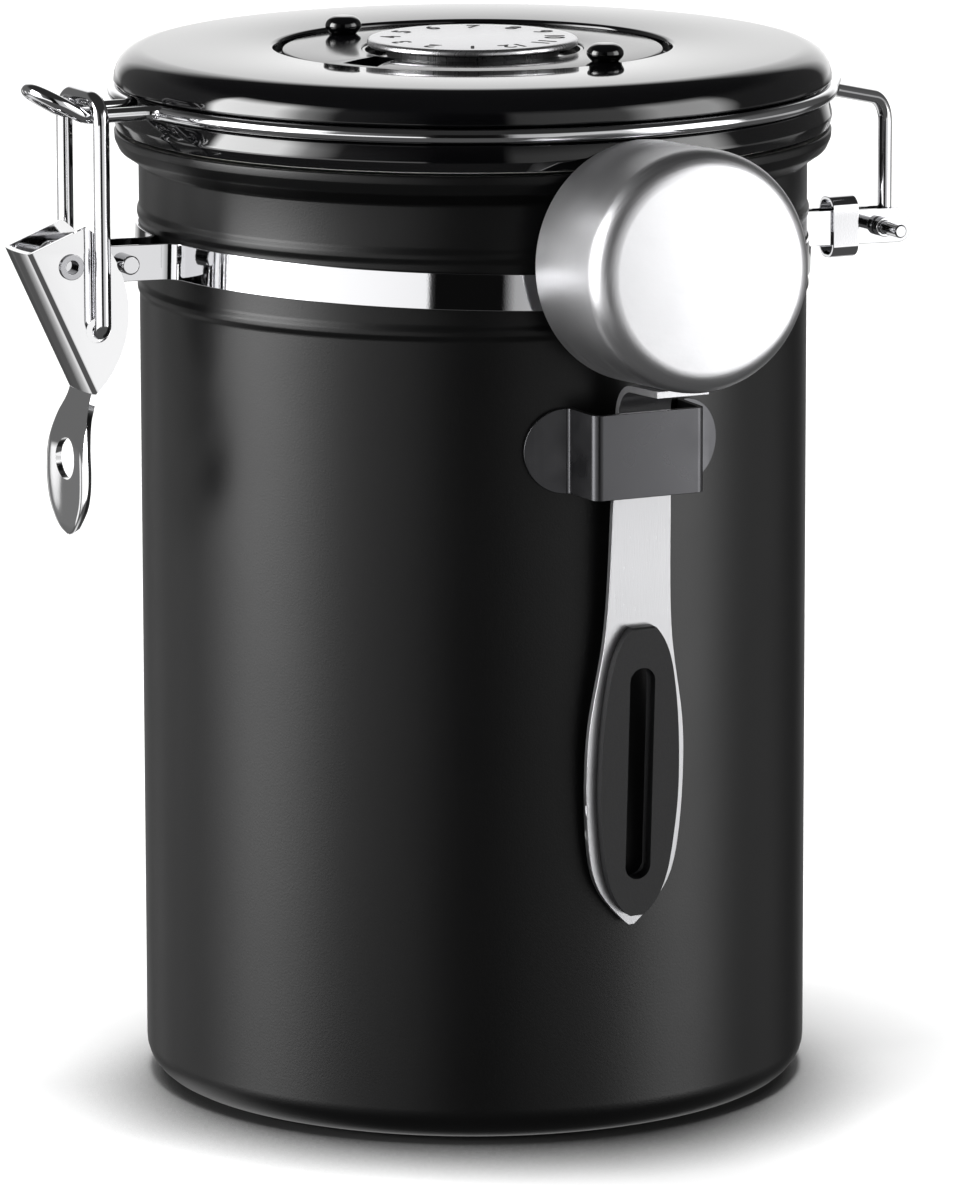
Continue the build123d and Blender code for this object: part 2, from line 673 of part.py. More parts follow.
# Day ring with its window
window_ends = []
for radius, azimuth in ((window_inner, window_inner_azimuth), (window_outer, window_outer_azimuth)):
    for end in (-window_half_angle, window_half_angle):
        turn = math.radians(azimuth - 90 + end)
        window_ends.append((radius * math.cos(turn), radius * math.sin(turn)))
with BuildPart() as day_ring:
    with BuildSketch(Plane.XY.offset(ring_low_z)):
        Circle(day_ring_radius)
        Circle(day_ring_bore, mode=Mode.SUBTRACT)
    extrude(amount=ring_top_z - ring_low_z)
    rim_edges = day_ring.edges().group_by(Axis.Z)[-1]
    fillet(rim_edges, day_ring_edge)
    with BuildSketch(Plane.XY.offset(ring_low_z - overrun)):
        with BuildLine():
            RadiusArc(window_ends[0], window_ends[1], -window_inner)
            RadiusArc(window_ends[2], window_ends[3], -window_outer)
            Line(window_ends[0], window_ends[2])
            Line(window_ends[1], window_ends[3])
        make_face()
    extrude(amount=ring_top_z - ring_low_z + 2 * overrun, mode=Mode.SUBTRACT)
    with BuildSketch(Plane.XY.offset(ring_low_z - overrun)):
        with PolarLocations(knob_circle_radius, 2, start_angle=knob_azimuth - 90):
            Circle(knob_shank_radius + seat_fit)
    extrude(amount=ring_top_z - ring_low_z + 2 * overrun, mode=Mode.SUBTRACT)
day_ring.part.label = "day_ring"
export_step(day_ring.part, "parts/day_ring.step")

# Two domed knobs on the day ring
with BuildPart() as dial_knobs:
    with BuildSketch(Plane.XY.offset(ring_low_z)):
        with PolarLocations(knob_circle_radius, 2, start_angle=knob_azimuth - 90):
            Circle(knob_shank_radius)
    extrude(amount=ring_top_z + seat_fit - ring_low_z)
    with BuildSketch(Plane.XY.offset(ring_top_z + seat_fit)):
        with PolarLocations(knob_circle_radius, 2, start_angle=knob_azimuth - 90):
            Circle(knob_radius)
    extrude(amount=knob_height)
    fillet(dial_knobs.edges().filter_by(GeomType.CIRCLE).group_by(Axis.Z)[-1], knob_height - seat_fit)
dial_knobs.part.label = "dial_knobs"
export_step(dial_knobs.part, "parts/dial_knobs.step")

# Month disc with a hub that snaps over the stud
hub_low_z = well_floor_z + slip
with BuildPart() as month_disc:
    with BuildSketch(Plane.XY.offset(ring_low_z)):
        Circle(month_disc_radius)
    extrude(amount=disc_top_z - ring_low_z)
    fillet(month_disc.edges().group_by(Axis.Z)[-1], month_disc_edge)
    with BuildSketch(Plane.XY.offset(hub_low_z)):
        Circle(month_hub_radius)
    extrude(amount=ring_low_z - hub_low_z)
    with BuildSketch(Plane.XY.offset(hub_low_z - overrun)):
        Circle(stud_radius + pin_fit)
    extrude(amount=stud_top_z + slip - hub_low_z + overrun, mode=Mode.SUBTRACT)
month_disc.part.label = "month_disc"
export_step(month_disc.part, "parts/month_disc.step")

# Valve housing: barrel through the pan, flange below it, seat with holes
seat_top_z = pan_floor_z + valve_floor
barrel_top_z = pan_floor_z + valve_height
with BuildPart() as valve_housing:
    with BuildSketch(Plane.XY.offset(pan_floor_z - valve_flange_thickness)):
        Circle(valve_flange_radius)
    extrude(amount=valve_flange_thickness - seat_fit)
    with BuildSketch(Plane.XY.offset(pan_floor_z - valve_flange_thickness)):
        Circle(valve_barrel_radius)
    extrude(amount=valve_flange_thickness + valve_height)
    with BuildSketch(Plane.XY.offset(seat_top_z)):
        Circle(valve_barrel_radius - valve_wall)
    extrude(amount=valve_height, mode=Mode.SUBTRACT)
    with BuildSketch(Plane.XY.offset(pan_floor_z - valve_flange_thickness - overrun)):
        Circle(valve_barrel_radius - valve_wall)
    extrude(amount=overrun + filter_thickness + seat_fit, mode=Mode.SUBTRACT)
    with BuildSketch(Plane.XY.offset(pan_floor_z - valve_flange_thickness - overrun)):
        with PolarLocations(valve_hole_circle, valve_hole_count):
            Circle(valve_hole_radius)
    extrude(amount=valve_height + overrun, mode=Mode.SUBTRACT)
valve_housing.part.label = "valve_housing"
export_step(valve_housing.part, "parts/valve_housing.step")

# Silicone disc that lifts to let gas out
with BuildPart() as valve_membrane:
    with BuildSketch(Plane.XY.offset(seat_top_z + membrane_rest_gap)):
        Circle(membrane_radius)
    extrude(amount=membrane_thickness)
valve_membrane.part.label = "valve_membrane"
export_step(valve_membrane.part, "parts/valve_membrane.step")

# Perforated cap that snaps into the barrel
cap_stop_z = seat_top_z + membrane_rest_gap + membrane_thickness + membrane_lift + slip
with BuildPart() as valve_cap:
    with BuildSketch(Plane.XY.offset(cap_stop_z)):
        Circle(valve_barrel_radius - valve_wall - seat_fit)
    extrude(amount=barrel_top_z - cap_stop_z)
    with BuildSketch(Plane.XY.offset(barrel_top_z + seat_fit)):
        Circle(valve_barrel_radius)
    extrude(amount=valve_cap_thickness)
    with BuildSketch(Plane.XY.offset(barrel_top_z)):
        Circle(valve_barrel_radius - valve_wall - seat_fit)
    extrude(amount=2 * seat_fit)
    with BuildSketch(Plane.XY.offset(cap_stop_z - overrun)):
        with PolarLocations(valve_hole_circle, valve_hole_count, start_angle=180 / valve_hole_count):
            Circle(valve_hole_radius)
    extrude(amount=2 * valve_height, mode=Mode.SUBTRACT)
valve_cap.part.label = "valve_cap"
export_step(valve_cap.part, "parts/valve_cap.step")

# Felt disc that keeps coffee dust out of the valve
with BuildPart() as valve_filter:
    with BuildSketch(Plane.XY.offset(pan_floor_z - valve_flange_thickness)):
        Circle(valve_barrel_radius - valve_wall - seat_fit)
    extrude(amount=filter_thickness)
valve_filter.part.label = "valve_filter"
export_step(valve_filter.part, "parts/valve_filter.step")

# Scoop clip: one strip with two curved tabs and a bridge
tab_radius = body_radius + seat_fit + clip_sheet / 2
root_turn = math.asin(clip_root_half_width / tab_radius)
tab_turn = math.asin(clip_half_arc / tab_radius)
clip_mid_front = clip_front - clip_sheet / 2
clip_mid_half = clip_front_half_width - clip_sheet / 2
with BuildPart() as scoop_clip:
    with BuildLine(Plane.XY.offset(clip_low_z + clip_height / 2)) as clip_line:
        for side in (-1, 1):
            tab_end = (side * tab_radius * math.sin(tab_turn), -tab_radius * math.cos(tab_turn))
            tab_mid = (side * tab_radius * math.sin((tab_turn + root_turn) / 2),
                       -tab_radius * math.cos((tab_turn + root_turn) / 2))
            root = (side * tab_radius * math.sin(root_turn), -tab_radius * math.cos(root_turn))
            ThreePointArc(tab_end, tab_mid, root)
        FilletPolyline(
            (-tab_radius * math.sin(root_turn), -tab_radius * math.cos(root_turn)),
            (-clip_mid_half, -clip_mid_front),
            (clip_mid_half, -clip_mid_front),
            (tab_radius * math.sin(root_turn), -tab_radius * math.cos(root_turn)),
            radius=clip_bend,
        )
    clip_start = clip_line.wire() @ 0
    clip_way = clip_line.wire() % 0
    with BuildSketch(Plane(origin=clip_start, x_dir=(0, 0, 1), z_dir=clip_way)):
        Rectangle(clip_height, clip_sheet)
    sweep(path=clip_line.wire(), transition=Transition.RIGHT)
    with BuildSketch(Plane(origin=(0, 0, clip_low_z + clip_height / 2), x_dir=(1, 0, 0), z_dir=(0, -1, 0))):
        SlotOverall(2 * clip_half_arc, clip_height)
    extrude(amount=clip_front + overrun, mode=Mode.INTERSECT)
scoop_clip.part.label = "scoop_clip"
export_step(scoop_clip.part, "parts/scoop_clip.step")

# Scoop cup, open towards the canister
cup_turn = math.radians(cup_tilt)
cup_plane = Plane(
    origin=(0, -cup_front, cup_z), x_dir=(1, 0, 0), z_dir=(0, -math.cos(cup_turn), math.sin(cup_turn))
)
with BuildPart() as scoop_cup:
    with BuildSketch(cup_plane):
        Circle(cup_radius)
    extrude(amount=cup_depth)
    fillet(scoop_cup.edges().filter_by(GeomType.CIRCLE).sort_by(Axis.Y)[0], cup_edge_radius)
    offset(amount=-cup_wall, openings=scoop_cup.faces().filter_by(GeomType.PLANE).sort_by(Axis.Y)[-1])
scoop_cup.part.label = "scoop_cup"
export_step(scoop_cup.part, "parts/scoop_cup.step")

# Scoop handle: side profile cut to the outline seen from the front
lean = math.atan(handle_lean_share)
under_z = cup_z - cup_radius * math.cos(cup_turn) - weld_gap - handle_thickness / 2
corner_z = under_z
corner_d = handle_tip_d + (corner_z - handle_tip_z) * handle_lean_share
handle_face = Plane(
    origin=(0, -handle_tip_d, handle_tip_z), x_dir=(1, 0, 0), z_dir=(0, -math.cos(lean), -math.sin(lean))
)


def outline_points(shares, length, half_width, start):
    """Right-hand outline points, up the strip from its tip, in the handle's own plane."""
    return [(width * half_width, start + along * length) for along, width in shares]


slot_start = (slot_low_z - handle_tip_z) / math.cos(lean)
slot_length = (slot_high_z - slot_low_z) / math.cos(lean)
with BuildPart() as scoop_handle:
    end_z = corner_z + (handle_end - corner_d) * math.tan(cup_turn)
    with BuildLine() as handle_line:
        FilletPolyline(
            (0, -handle_tip_d, handle_tip_z), (0, -corner_d, corner_z), (0, -handle_end, end_z), radius=handle_bend
        )
    with BuildSketch(Plane(origin=handle_line.line @ 0, x_dir=(1, 0, 0), z_dir=handle_line.line % 0)):
        Rectangle(2 * handle_half_width, handle_thickness)
    sweep(path=handle_line.wire())
    with BuildSketch(handle_face.offset(-handle_cut_back)):
        points = outline_points(handle_outline_shares, handle_length, handle_half_width, 0)
        with BuildLine():
            right = Spline(*points)
            left = Spline(*[(-x, y) for x, y in points])
            Line(right @ 0, left @ 0)
            Line(right @ 1, left @ 1)
        make_face()
    extrude(amount=handle_end, mode=Mode.INTERSECT)
    with BuildSketch(handle_face.offset(-overrun)):
        with Locations(Location((0, slot_start + slot_length / 2, 0), (0, 0, 90))):
            SlotOverall(slot_length + 2 * grip_collar, slot_width + 2 * grip_collar)
    extrude(amount=2 * overrun, mode=Mode.SUBTRACT)
scoop_handle.part.label = "scoop_handle"
export_step(scoop_handle.part, "parts/scoop_handle.step")

# Rubber grip on the handle, with a collar through the handle's slot
grip_start = (grip_tip_z - handle_tip_z) / math.cos(lean)
with BuildPart() as scoop_grip:
    with BuildSketch(handle_face.offset(handle_thickness / 2)):
        points = outline_points(grip_outline_shares, grip_length, grip_half_width, grip_start)
        with BuildLine():
            right = Spline(*points)
            left = Spline(*[(-x, y) for x, y in points])
            Line(right @ 0, left @ 0)
            Line(right @ 1, left @ 1)
        make_face()
    extrude(amount=grip_thickness)
    fillet(scoop_grip.faces().sort_by(Axis.Y)[0].edges(), grip_edge)
    with BuildSketch(handle_face.offset(-handle_thickness / 2)):
        with Locations(Location((0, slot_start + slot_length / 2, 0), (0, 0, 90))):
            SlotOverall(slot_length + 2 * (grip_collar - seat_fit), slot_width + 2 * (grip_collar - seat_fit))
    extrude(amount=handle_thickness)
    with BuildSketch(handle_face.offset(-overrun)):
        with Locations(Location((0, slot_start + slot_length / 2, 0), (0, 0, 90))):
            SlotOverall(slot_length, slot_width)
    extrude(amount=grip_thickness + 2 * overrun, mode=Mode.SUBTRACT)
scoop_grip.part.label = "scoop_grip"
export_step(scoop_grip.part, "parts/scoop_grip.step")

print("hinge pin height", round(hinge_z, 3), "lever pivot height", round(pivot_z, 3))
print("scoop wire clearance", round(cup_front - cup_radius * math.sin(cup_turn) - ring_radius - ring_wire_radius, 3))
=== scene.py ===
import math

import bmesh
import bpy
from mathutils import Matrix, Vector


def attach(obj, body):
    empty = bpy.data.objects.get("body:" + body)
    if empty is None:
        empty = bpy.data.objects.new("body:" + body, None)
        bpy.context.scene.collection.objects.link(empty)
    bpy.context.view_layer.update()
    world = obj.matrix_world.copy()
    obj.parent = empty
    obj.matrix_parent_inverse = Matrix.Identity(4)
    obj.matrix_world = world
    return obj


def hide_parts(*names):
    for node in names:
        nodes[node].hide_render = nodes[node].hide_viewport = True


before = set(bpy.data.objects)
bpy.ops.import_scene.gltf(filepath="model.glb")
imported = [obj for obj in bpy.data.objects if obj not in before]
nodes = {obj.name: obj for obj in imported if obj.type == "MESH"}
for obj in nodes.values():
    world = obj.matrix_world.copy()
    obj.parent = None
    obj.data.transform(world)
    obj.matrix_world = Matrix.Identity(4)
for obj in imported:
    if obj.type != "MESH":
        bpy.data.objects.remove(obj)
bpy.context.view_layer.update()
mm = 0.001
zAxis = Vector((0, 0, 1))
print("frame loaded,", len(nodes), "CAD nodes")


# colours and shader nodes

def paint(hexText):
    # sRGB hex to the linear colour that a shader takes
    channels = [int(hexText[i:i + 2], 16) / 255 for i in (1, 3, 5)]
    return [c / 12.92 if c <= 0.04045 else ((c + 0.055) / 1.055) ** 2.4 for c in channels] + [1]


def addNode(tree, kind, settings=None, links=None):
    node = tree.nodes.new(kind)
    for name, value in (settings or {}).items():
        if isinstance(name, int) or name in node.inputs:
            node.inputs[name].default_value = value
        else:
            setattr(node, name, value)
    for name, source in (links or {}).items():
        tree.links.new(source, node.inputs[name])
    return node


def startMaterial(name, colour, metallic, roughness, **shader):
    material = bpy.data.materials.new(name)
    material.use_nodes = True
    tree = material.node_tree
    tree.nodes.clear()
    surface = addNode(tree, "ShaderNodeBsdfPrincipled", {
        "Base Color": paint(colour), "Metallic": metallic, "Roughness": roughness, **shader})
    addNode(tree, "ShaderNodeOutputMaterial", links={"Surface": surface.outputs["BSDF"]})
    where = addNode(tree, "ShaderNodeTexCoord")
    return material, tree, surface, where.outputs["Object"]


# Powder coat on steel: fine even grain, satin, and almost no reflection of its own in the dark
def powderCoat(name, dark, light, grain, roughness):
    material, tree, surface, where = startMaterial(name, dark, 0, roughness, IOR=1.42)
    specks = addNode(tree, "ShaderNodeTexNoise", {"Scale": 1 / (grain * mm), "Detail": 3, "Roughness": 0.6},
                     {"Vector": where})
    clouds = addNode(tree, "ShaderNodeTexNoise", {"Scale": 1 / (18 * mm), "Detail": 2}, {"Vector": where})
    colour = addNode(tree, "ShaderNodeMix", {"data_type": "RGBA", 6: paint(dark), 7: paint(light)},
                     {0: specks.outputs["Fac"]})
    sheen = addNode(tree, "ShaderNodeMapRange", {"To Min": roughness - 0.03, "To Max": roughness + 0.03},
                    {"Value": clouds.outputs["Fac"]})
    bump = addNode(tree, "ShaderNodeBump", {"Strength": 0.35, "Distance": 0.05 * mm},
                   {"Height": specks.outputs["Fac"]})
    tree.links.new(colour.outputs[2], surface.inputs["Base Color"])
    tree.links.new(sheen.outputs["Result"], surface.inputs["Roughness"])
    tree.links.new(bump.outputs["Normal"], surface.inputs["Normal"])
    return material


# Baked gloss enamel on pressed steel: mirror-like, with a very slight waviness
def bakedEnamel(name, colour, roughness, coat):
    material, tree, surface, where = startMaterial(name, colour, 0, roughness, **{
        "IOR": 1.52, "Coat Weight": coat, "Coat Roughness": 0.03})
    waves = addNode(tree, "ShaderNodeTexNoise", {"Scale": 1 / (9 * mm), "Detail": 1}, {"Vector": where})
    dust = addNode(tree, "ShaderNodeTexNoise", {"Scale": 1 / (0.6 * mm), "Detail": 2}, {"Vector": where})
    bump = addNode(tree, "ShaderNodeBump", {"Strength": 0.05, "Distance": 0.1 * mm}, {"Height": waves.outputs["Fac"]})
    tree.links.new(bump.outputs["Normal"], surface.inputs["Normal"])
    sheen = addNode(tree, "ShaderNodeMapRange", {"To Min": roughness * 0.7, "To Max": roughness * 1.4},
                    {"Value": dust.outputs["Fac"]})
    tree.links.new(sheen.outputs["Result"], surface.inputs["Roughness"])
    return material


# Bright-plated spring wire and polished stainless strip: a mirror with fine drawing marks
def polishedSteel(name, colour, roughness, grain):
    material, tree, surface, where = startMaterial(name, colour, 1, roughness)
    marks = addNode(tree, "ShaderNodeTexNoise", {"Scale": 1 / (grain * mm), "Detail": 3}, {"Vector": where})
    smears = addNode(tree, "ShaderNodeTexNoise", {"Scale": 1 / (6 * mm), "Detail": 2}, {"Vector": where})
    bump = addNode(tree, "ShaderNodeBump", {"Strength": 0.06, "Distance": 0.03 * mm},
                   {"Height": marks.outputs["Fac"]})
    tree.links.new(bump.outputs["Normal"], surface.inputs["Normal"])
    sheen = addNode(tree, "ShaderNodeMapRange", {"To Min": roughness * 0.6, "To Max": roughness * 1.5},
                    {"Value": smears.outputs["Fac"]})
    tree.links.new(sheen.outputs["Result"], surface.inputs["Roughness"])
    return material


# Brushed stainless: lines that run one way. Real ones are 0.02 to 0.1 mm wide, too fine to show in the render,
# so they are drawn 0.16 to 0.35 mm wide
def brushedSteel(name, colour, roughness, lines, strength=0.25):
    material, tree, surface, where = startMaterial(name, colour, 1, roughness)
    stretched = addNode(tree, "ShaderNodeMapping", {"Scale": [1 / (s * mm) for s in lines]}, {"Vector": where})
    brush = addNode(tree, "ShaderNodeTexNoise", {"Scale": 1, "Detail": 4, "Roughness": 0.65},
                    {"Vector": stretched.outputs["Vector"]})
    bump = addNode(tree, "ShaderNodeBump", {"Strength": strength, "Distance": 0.04 * mm},
                   {"Height": brush.outputs["Fac"]})
    tree.links.new(bump.outputs["Normal"], surface.inputs["Normal"])
    sheen = addNode(tree, "ShaderNodeMapRange", {"To Min": roughness - 0.08, "To Max": roughness + 0.1},
                    {"Value": brush.outputs["Fac"]})
    tree.links.new(sheen.outputs["Result"], surface.inputs["Roughness"])
    return material


# Moulded rubber, silicone and nylon: soft grain from the mould
def moulded(name, dark, light, grain, roughness):
    material, tree, surface, where = startMaterial(name, dark, 0, roughness, IOR=1.45)
    pores = addNode(tree, "ShaderNodeTexNoise", {"Scale": 1 / (grain * mm), "Detail": 3}, {"Vector": where})
    bump = addNode(tree, "ShaderNodeBump", {"Strength": 0.3, "Distance": 0.05 * mm}, {"Height": pores.outputs["Fac"]})
    colour = addNode(tree, "ShaderNodeMix", {"data_type": "RGBA", 6: paint(dark), 7: paint(light)},
                     {0: pores.outputs["Fac"]})
    tree.links.new(colour.outputs[2], surface.inputs["Base Color"])
    tree.links.new(bump.outputs["Normal"], surface.inputs["Normal"])
    return material


bodyCoat = powderCoat("satinPowderCoat", "#010101", "#060607", 0.35, 0.36)
clipCoat = polishedSteel("blackPlatedClip", "#4e4e50", 0.3, 0.25)
lidEnamel = bakedEnamel("blackBakedEnamel", "#050506", 0.06, 0.4)
ringEnamel = bakedEnamel("dayRingEnamel", "#050506", 0.1, 0)
springWire = polishedSteel("platedSpringWire", "#E6E6E8", 0.07, 0.4)
strapSteel = polishedSteel("polishedStrapSteel", "#DCDCDE", 0.03, 0.3)
leverSteel = polishedSteel("pressedLeverSteel", "#F2F2F3", 0.05, 0.5)
eyeletSteel = polishedSteel("tumbledEyeletSteel", "#B8B8BB", 0.15, 0.3)
cupSteel = brushedSteel("spunCupSteel", "#D8D8DA", 0.38, (9, 0.35, 9), strength=0.9)
handleSteel = brushedSteel("brushedHandleSteel", "#C8C8CA", 0.3, (0.16, 0.16, 9))
discSteel = brushedSteel("brushedDiscSteel", "#DCDCDE", 0.28, (9, 0.18, 9))
gripRubber = moulded("gripRubber", "#0d0d0e", "#1d1d1f", 0.35, 0.55)
sealSilicone = moulded("sealSilicone", "#C9C8C3", "#D6D5D1", 0.5, 0.5)
valveNylon = moulded("valveNylon", "#161617", "#212122", 0.4, 0.45)
filterFelt = moulded("filterFelt", "#B9B6AD", "#DAD7CF", 0.2, 0.95)
dialInk = startMaterial("dialInk", "#0b0b0c", 0, 0.7)[0]
print("materials made")


# mesh tools

def finishPiece(name, bm, body, material, replaces=(), bevel=0, smooth=35, merge=0.001):
    bmesh.ops.remove_doubles(bm, verts=bm.verts, dist=merge * mm)
    bmesh.ops.recalc_face_normals(bm, faces=bm.faces)
    mesh = bpy.data.meshes.new(name)
    bm.to_mesh(mesh)
    bm.free()
    piece = bpy.data.objects.new(name, mesh)
    bpy.context.scene.collection.objects.link(piece)
    mesh.materials.append(material)
    mesh.shade_smooth()
    if bevel:
        edge = piece.modifiers.new("edge", "BEVEL")
        edge.width, edge.segments, edge.limit_method = bevel * mm, 3, "ANGLE"
        edge.angle_limit = math.radians(smooth)
        edge.harden_normals = True
    mesh.set_sharp_from_angle(angle=math.radians(smooth))
    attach(piece, body)
    if replaces:
        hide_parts(*replaces)


def edgesOf(geometry):
    return [g for g in geometry if isinstance(g, bmesh.types.BMEdge)]


def vertsOf(geometry):
    return [g for g in geometry if isinstance(g, bmesh.types.BMVert)]


def ringVerts(ring):
    # each vertex once, in the edges' order, so that every run makes the same mesh
    return list(dict.fromkeys(vert for edge in ring for vert in edge.verts))


def pullRun(bm, ring, move):
    grown = bmesh.ops.extrude_edge_only(bm, edges=ring)["geom"]
    verts = vertsOf(grown)
    bmesh.ops.translate(bm, verts=verts, vec=move)
    return [e for e in edgesOf(grown) if e.verts[0] in verts and e.verts[1] in verts]


# an arc turns by this many degrees a step; a point further out than wideFrom mm needs the finer step
bendStep = {"tight": 5, "wide": 1.5, "wideFrom": 30}


def pullBend(bm, ring, centre, axis, angle):
    verts = ringVerts(ring)
    reach = max((v.co - Vector(centre)).length for v in verts)
    step = bendStep["wide" if reach > bendStep["wideFrom"] * mm else "tight"]
    steps = max(3, int(math.degrees(angle) / step))
    turned = bmesh.ops.spin(bm, geom=verts + ring, cent=centre, axis=axis, dvec=(0, 0, 0), angle=angle,
                            steps=steps, use_duplicate=False, use_merge=False)
    return edgesOf(turned["geom_last"])


def pullAlong(bm, ring, corners):
    # corners are (x, y, z, bend) in mm: straight runs, with an arc of that radius at each corner
    here = Vector(corners[0][:3]) * mm
    for index in range(1, len(corners)):
        corner, bend = Vector(corners[index][:3]) * mm, corners[index][3] * mm
        into = (corner - here).normalized()
        if index == len(corners) - 1 or not bend:
            ring = pullRun(bm, ring, corner - here)
            here = corner
            continue
        out = (Vector(corners[index + 1][:3]) * mm - corner).normalized()
        turn = into.angle(out)
        start = corner - into * bend * math.tan(turn / 2)
        if (start - here).length > 1e-6:
            ring = pullRun(bm, ring, start - here)
        axis = into.cross(out).normalized()
        ring = pullBend(bm, ring, start + axis.cross(into) * bend, axis, turn)
        here = corner + out * bend * math.tan(turn / 2)
    return ring


def wireSection(bm, at, heading, radius):
    place = Matrix.Translation(Vector(at) * mm) @ Vector(heading).to_track_quat("Z", "Y").to_matrix().to_4x4()
    made = bmesh.ops.create_circle(bm, cap_ends=False, radius=radius * mm, segments=20, matrix=place)
    return list(dict.fromkeys(edge for vert in made["verts"] for edge in vert.link_edges))


def stripSection(bm, at, across, up, thickness, height):
    across, up, at = Vector(across) * thickness / 2, Vector(up) * height / 2, Vector(at)
    verts = [bm.verts.new((at + across * a + up * b) * mm) for a, b in ((-1, -1), (1, -1), (1, 1), (-1, 1))]
    return [bm.edges.new((verts[i - 1], verts[i])) for i in range(4)]


def thicken(bm, amount):
    bmesh.ops.recalc_face_normals(bm, faces=bm.faces)
    bmesh.ops.solidify(bm, geom=bm.faces[:], thickness=amount * mm)


def trim(bm, point, out):
    # everything past the plane is cut off
    bmesh.ops.bisect_plane(bm, geom=bm.verts[:] + bm.edges[:] + bm.faces[:], plane_co=point * mm, plane_no=out,
                           clear_outer=True, dist=1e-7)


def capEnds(bm):
    bmesh.ops.holes_fill(bm, edges=[e for e in bm.edges if e.is_boundary], sides=0)


def drill(centre, wide, high, axis, depth=30):
    # a round or oval cutter along the given axis, longer than any piece that it goes through
    bm = bmesh.new()
    place = Matrix.Translation(Vector(centre) * mm) @ Vector(axis).to_track_quat("Z", "Y").to_matrix().to_4x4()
    bmesh.ops.create_cone(bm, cap_ends=True, segments=40, radius1=1, radius2=1, depth=depth * mm,
                          matrix=place @ Matrix.Diagonal((wide * mm, high * mm, 1, 1)))
    return bm


def cutAway(bm, cutters):
    shapes = []
    for shape in [bm] + cutters:
        mesh = bpy.data.meshes.new("cutting")
        shape.to_mesh(mesh)
        shape.free()
        shapes.append(bpy.data.objects.new("cutting", mesh))
        bpy.context.scene.collection.objects.link(shapes[-1])
    for cutter in shapes[1:]:
        cut = shapes[0].modifiers.new("cut", "BOOLEAN")
        cut.object, cut.operation, cut.solver = cutter, "DIFFERENCE", "EXACT"
    pierced = bmesh.new()
    pierced.from_mesh(shapes[0].evaluated_get(bpy.context.evaluated_depsgraph_get()).to_mesh())
    for used in shapes:
        bpy.data.objects.remove(used)
    return pierced


def spinProfile(profile, steps=180):
    # profile is a closed line of (radius, height, bend) in mm, turned about Z
    bm = bmesh.new()
    verts = [bm.verts.new((r * mm, 0, z * mm)) for r, z, bend in profile]
    onAxis = profile[0][0] == 0
    for index in range(len(verts) - (1 if onAxis else 0)):
        bm.edges.new((verts[index], verts[(index + 1) % len(verts)]))
    for vert, (r, z, bend) in zip(verts, profile):
        if bend:
            one, two = [e.other_vert(vert).co - vert.co for e in vert.link_edges]
            reach = bend * mm / math.tan(one.angle(two) / 2)
            bmesh.ops.bevel(bm, geom=[vert], offset=reach, offset_type="OFFSET", affect="VERTICES",
                            segments=8 if bend > 1 else 4, profile=0.5, material=-1)
    bmesh.ops.spin(bm, geom=bm.verts[:] + bm.edges[:], cent=(0, 0, 0), axis=zAxis, dvec=(0, 0, 0),
                   angle=math.tau, steps=steps, use_merge=True, use_duplicate=False)
    return bm


def tidyCopy(node, body, material, bevel):
    # a CAD node's own shape, merged so that it shades smoothly and takes a bevel
    bm = bmesh.new()
    bm.from_mesh(nodes[node].data)
    bmesh.ops.remove_doubles(bm, verts=bm.verts, dist=0.0005 * mm)
    bmesh.ops.dissolve_limit(bm, angle_limit=math.radians(0.5), verts=bm.verts, edges=bm.edges)
    finishPiece(node + "Dressed", bm, body, material, (node,), bevel, merge=0.0005)


# Canister body: drawn shell, two shallow beads, a flared rim turned in at the top
body = {"radius": 58, "wall": 0.8, "edge": 5.9, "beads": (139.8, 152.8), "beadHeight": 0.35, "beadHalf": 1.3,
        "beadBends": (1.5, 1), "neck": (161.9, 0.9),
        # flare and turned-in rim: distance out from the body's radius, height, bend
        "rim": [(0, 161.5, 0.7), (3.3, 163.7, 1.2), (4.1, 165.5, 0.8), (4.2, 167, 0.35), (1.4, 167, 0.25),
                (1.4, 166.2, 0.1), (3.1, 166.2, 0.2), (3.1, 165.5, 0.4), (2.6, 164.2, 0.8)]}


def makeBody():
    r, w, e = body["radius"], body["wall"], body["edge"]
    profile = [(0, 0, 0), (r, 0, e)]
    for z in body["beads"]:
        h, b = body["beadHalf"], body["beadHeight"]
        foot, crest = body["beadBends"]
        profile += [(r, z - h, foot), (r + b, z - h / 3, crest), (r + b, z + h / 3, crest), (r, z + h, foot)]
    profile += [(r + out, z, bend) for out, z, bend in body["rim"]]
    profile += [(r - w, *body["neck"]), (r - w, w, e - w), (0, w, 0)]
    finishPiece("canBody", spinProfile(profile), "canister", bodyCoat, ("canister_body",))


makeBody()


# Lid shell: dished dial well, flat top, rolled edge, wire groove and flange
lid = {"top": 181.1, "roll": 62.2, "rollBend": 5.4, "wall": 0.8, "well": 34.5, "wellDepth": 2.6,
       "wellBends": (0.6, 0.7, 0.3),
       # below the roll, outside and inside: radius, height, bend
       "skirt": [(62.2, 175.4, 1.2), (59.2, 173.6, 0.5), (59.2, 172.3, 0.35), (61.5, 172.3, 0.7), (62.35, 169.4, 1.2),
                 (61.9, 167.6, 0.15)],
       "lining": [(61.2, 167.6, 0.15), (61.5, 169.4, 1), (60.8, 171.5, 0.5), (58.4, 171.5, 0.3), (58.4, 174.1, 0.5),
                  (61.4, 175.8, 0.8)]}


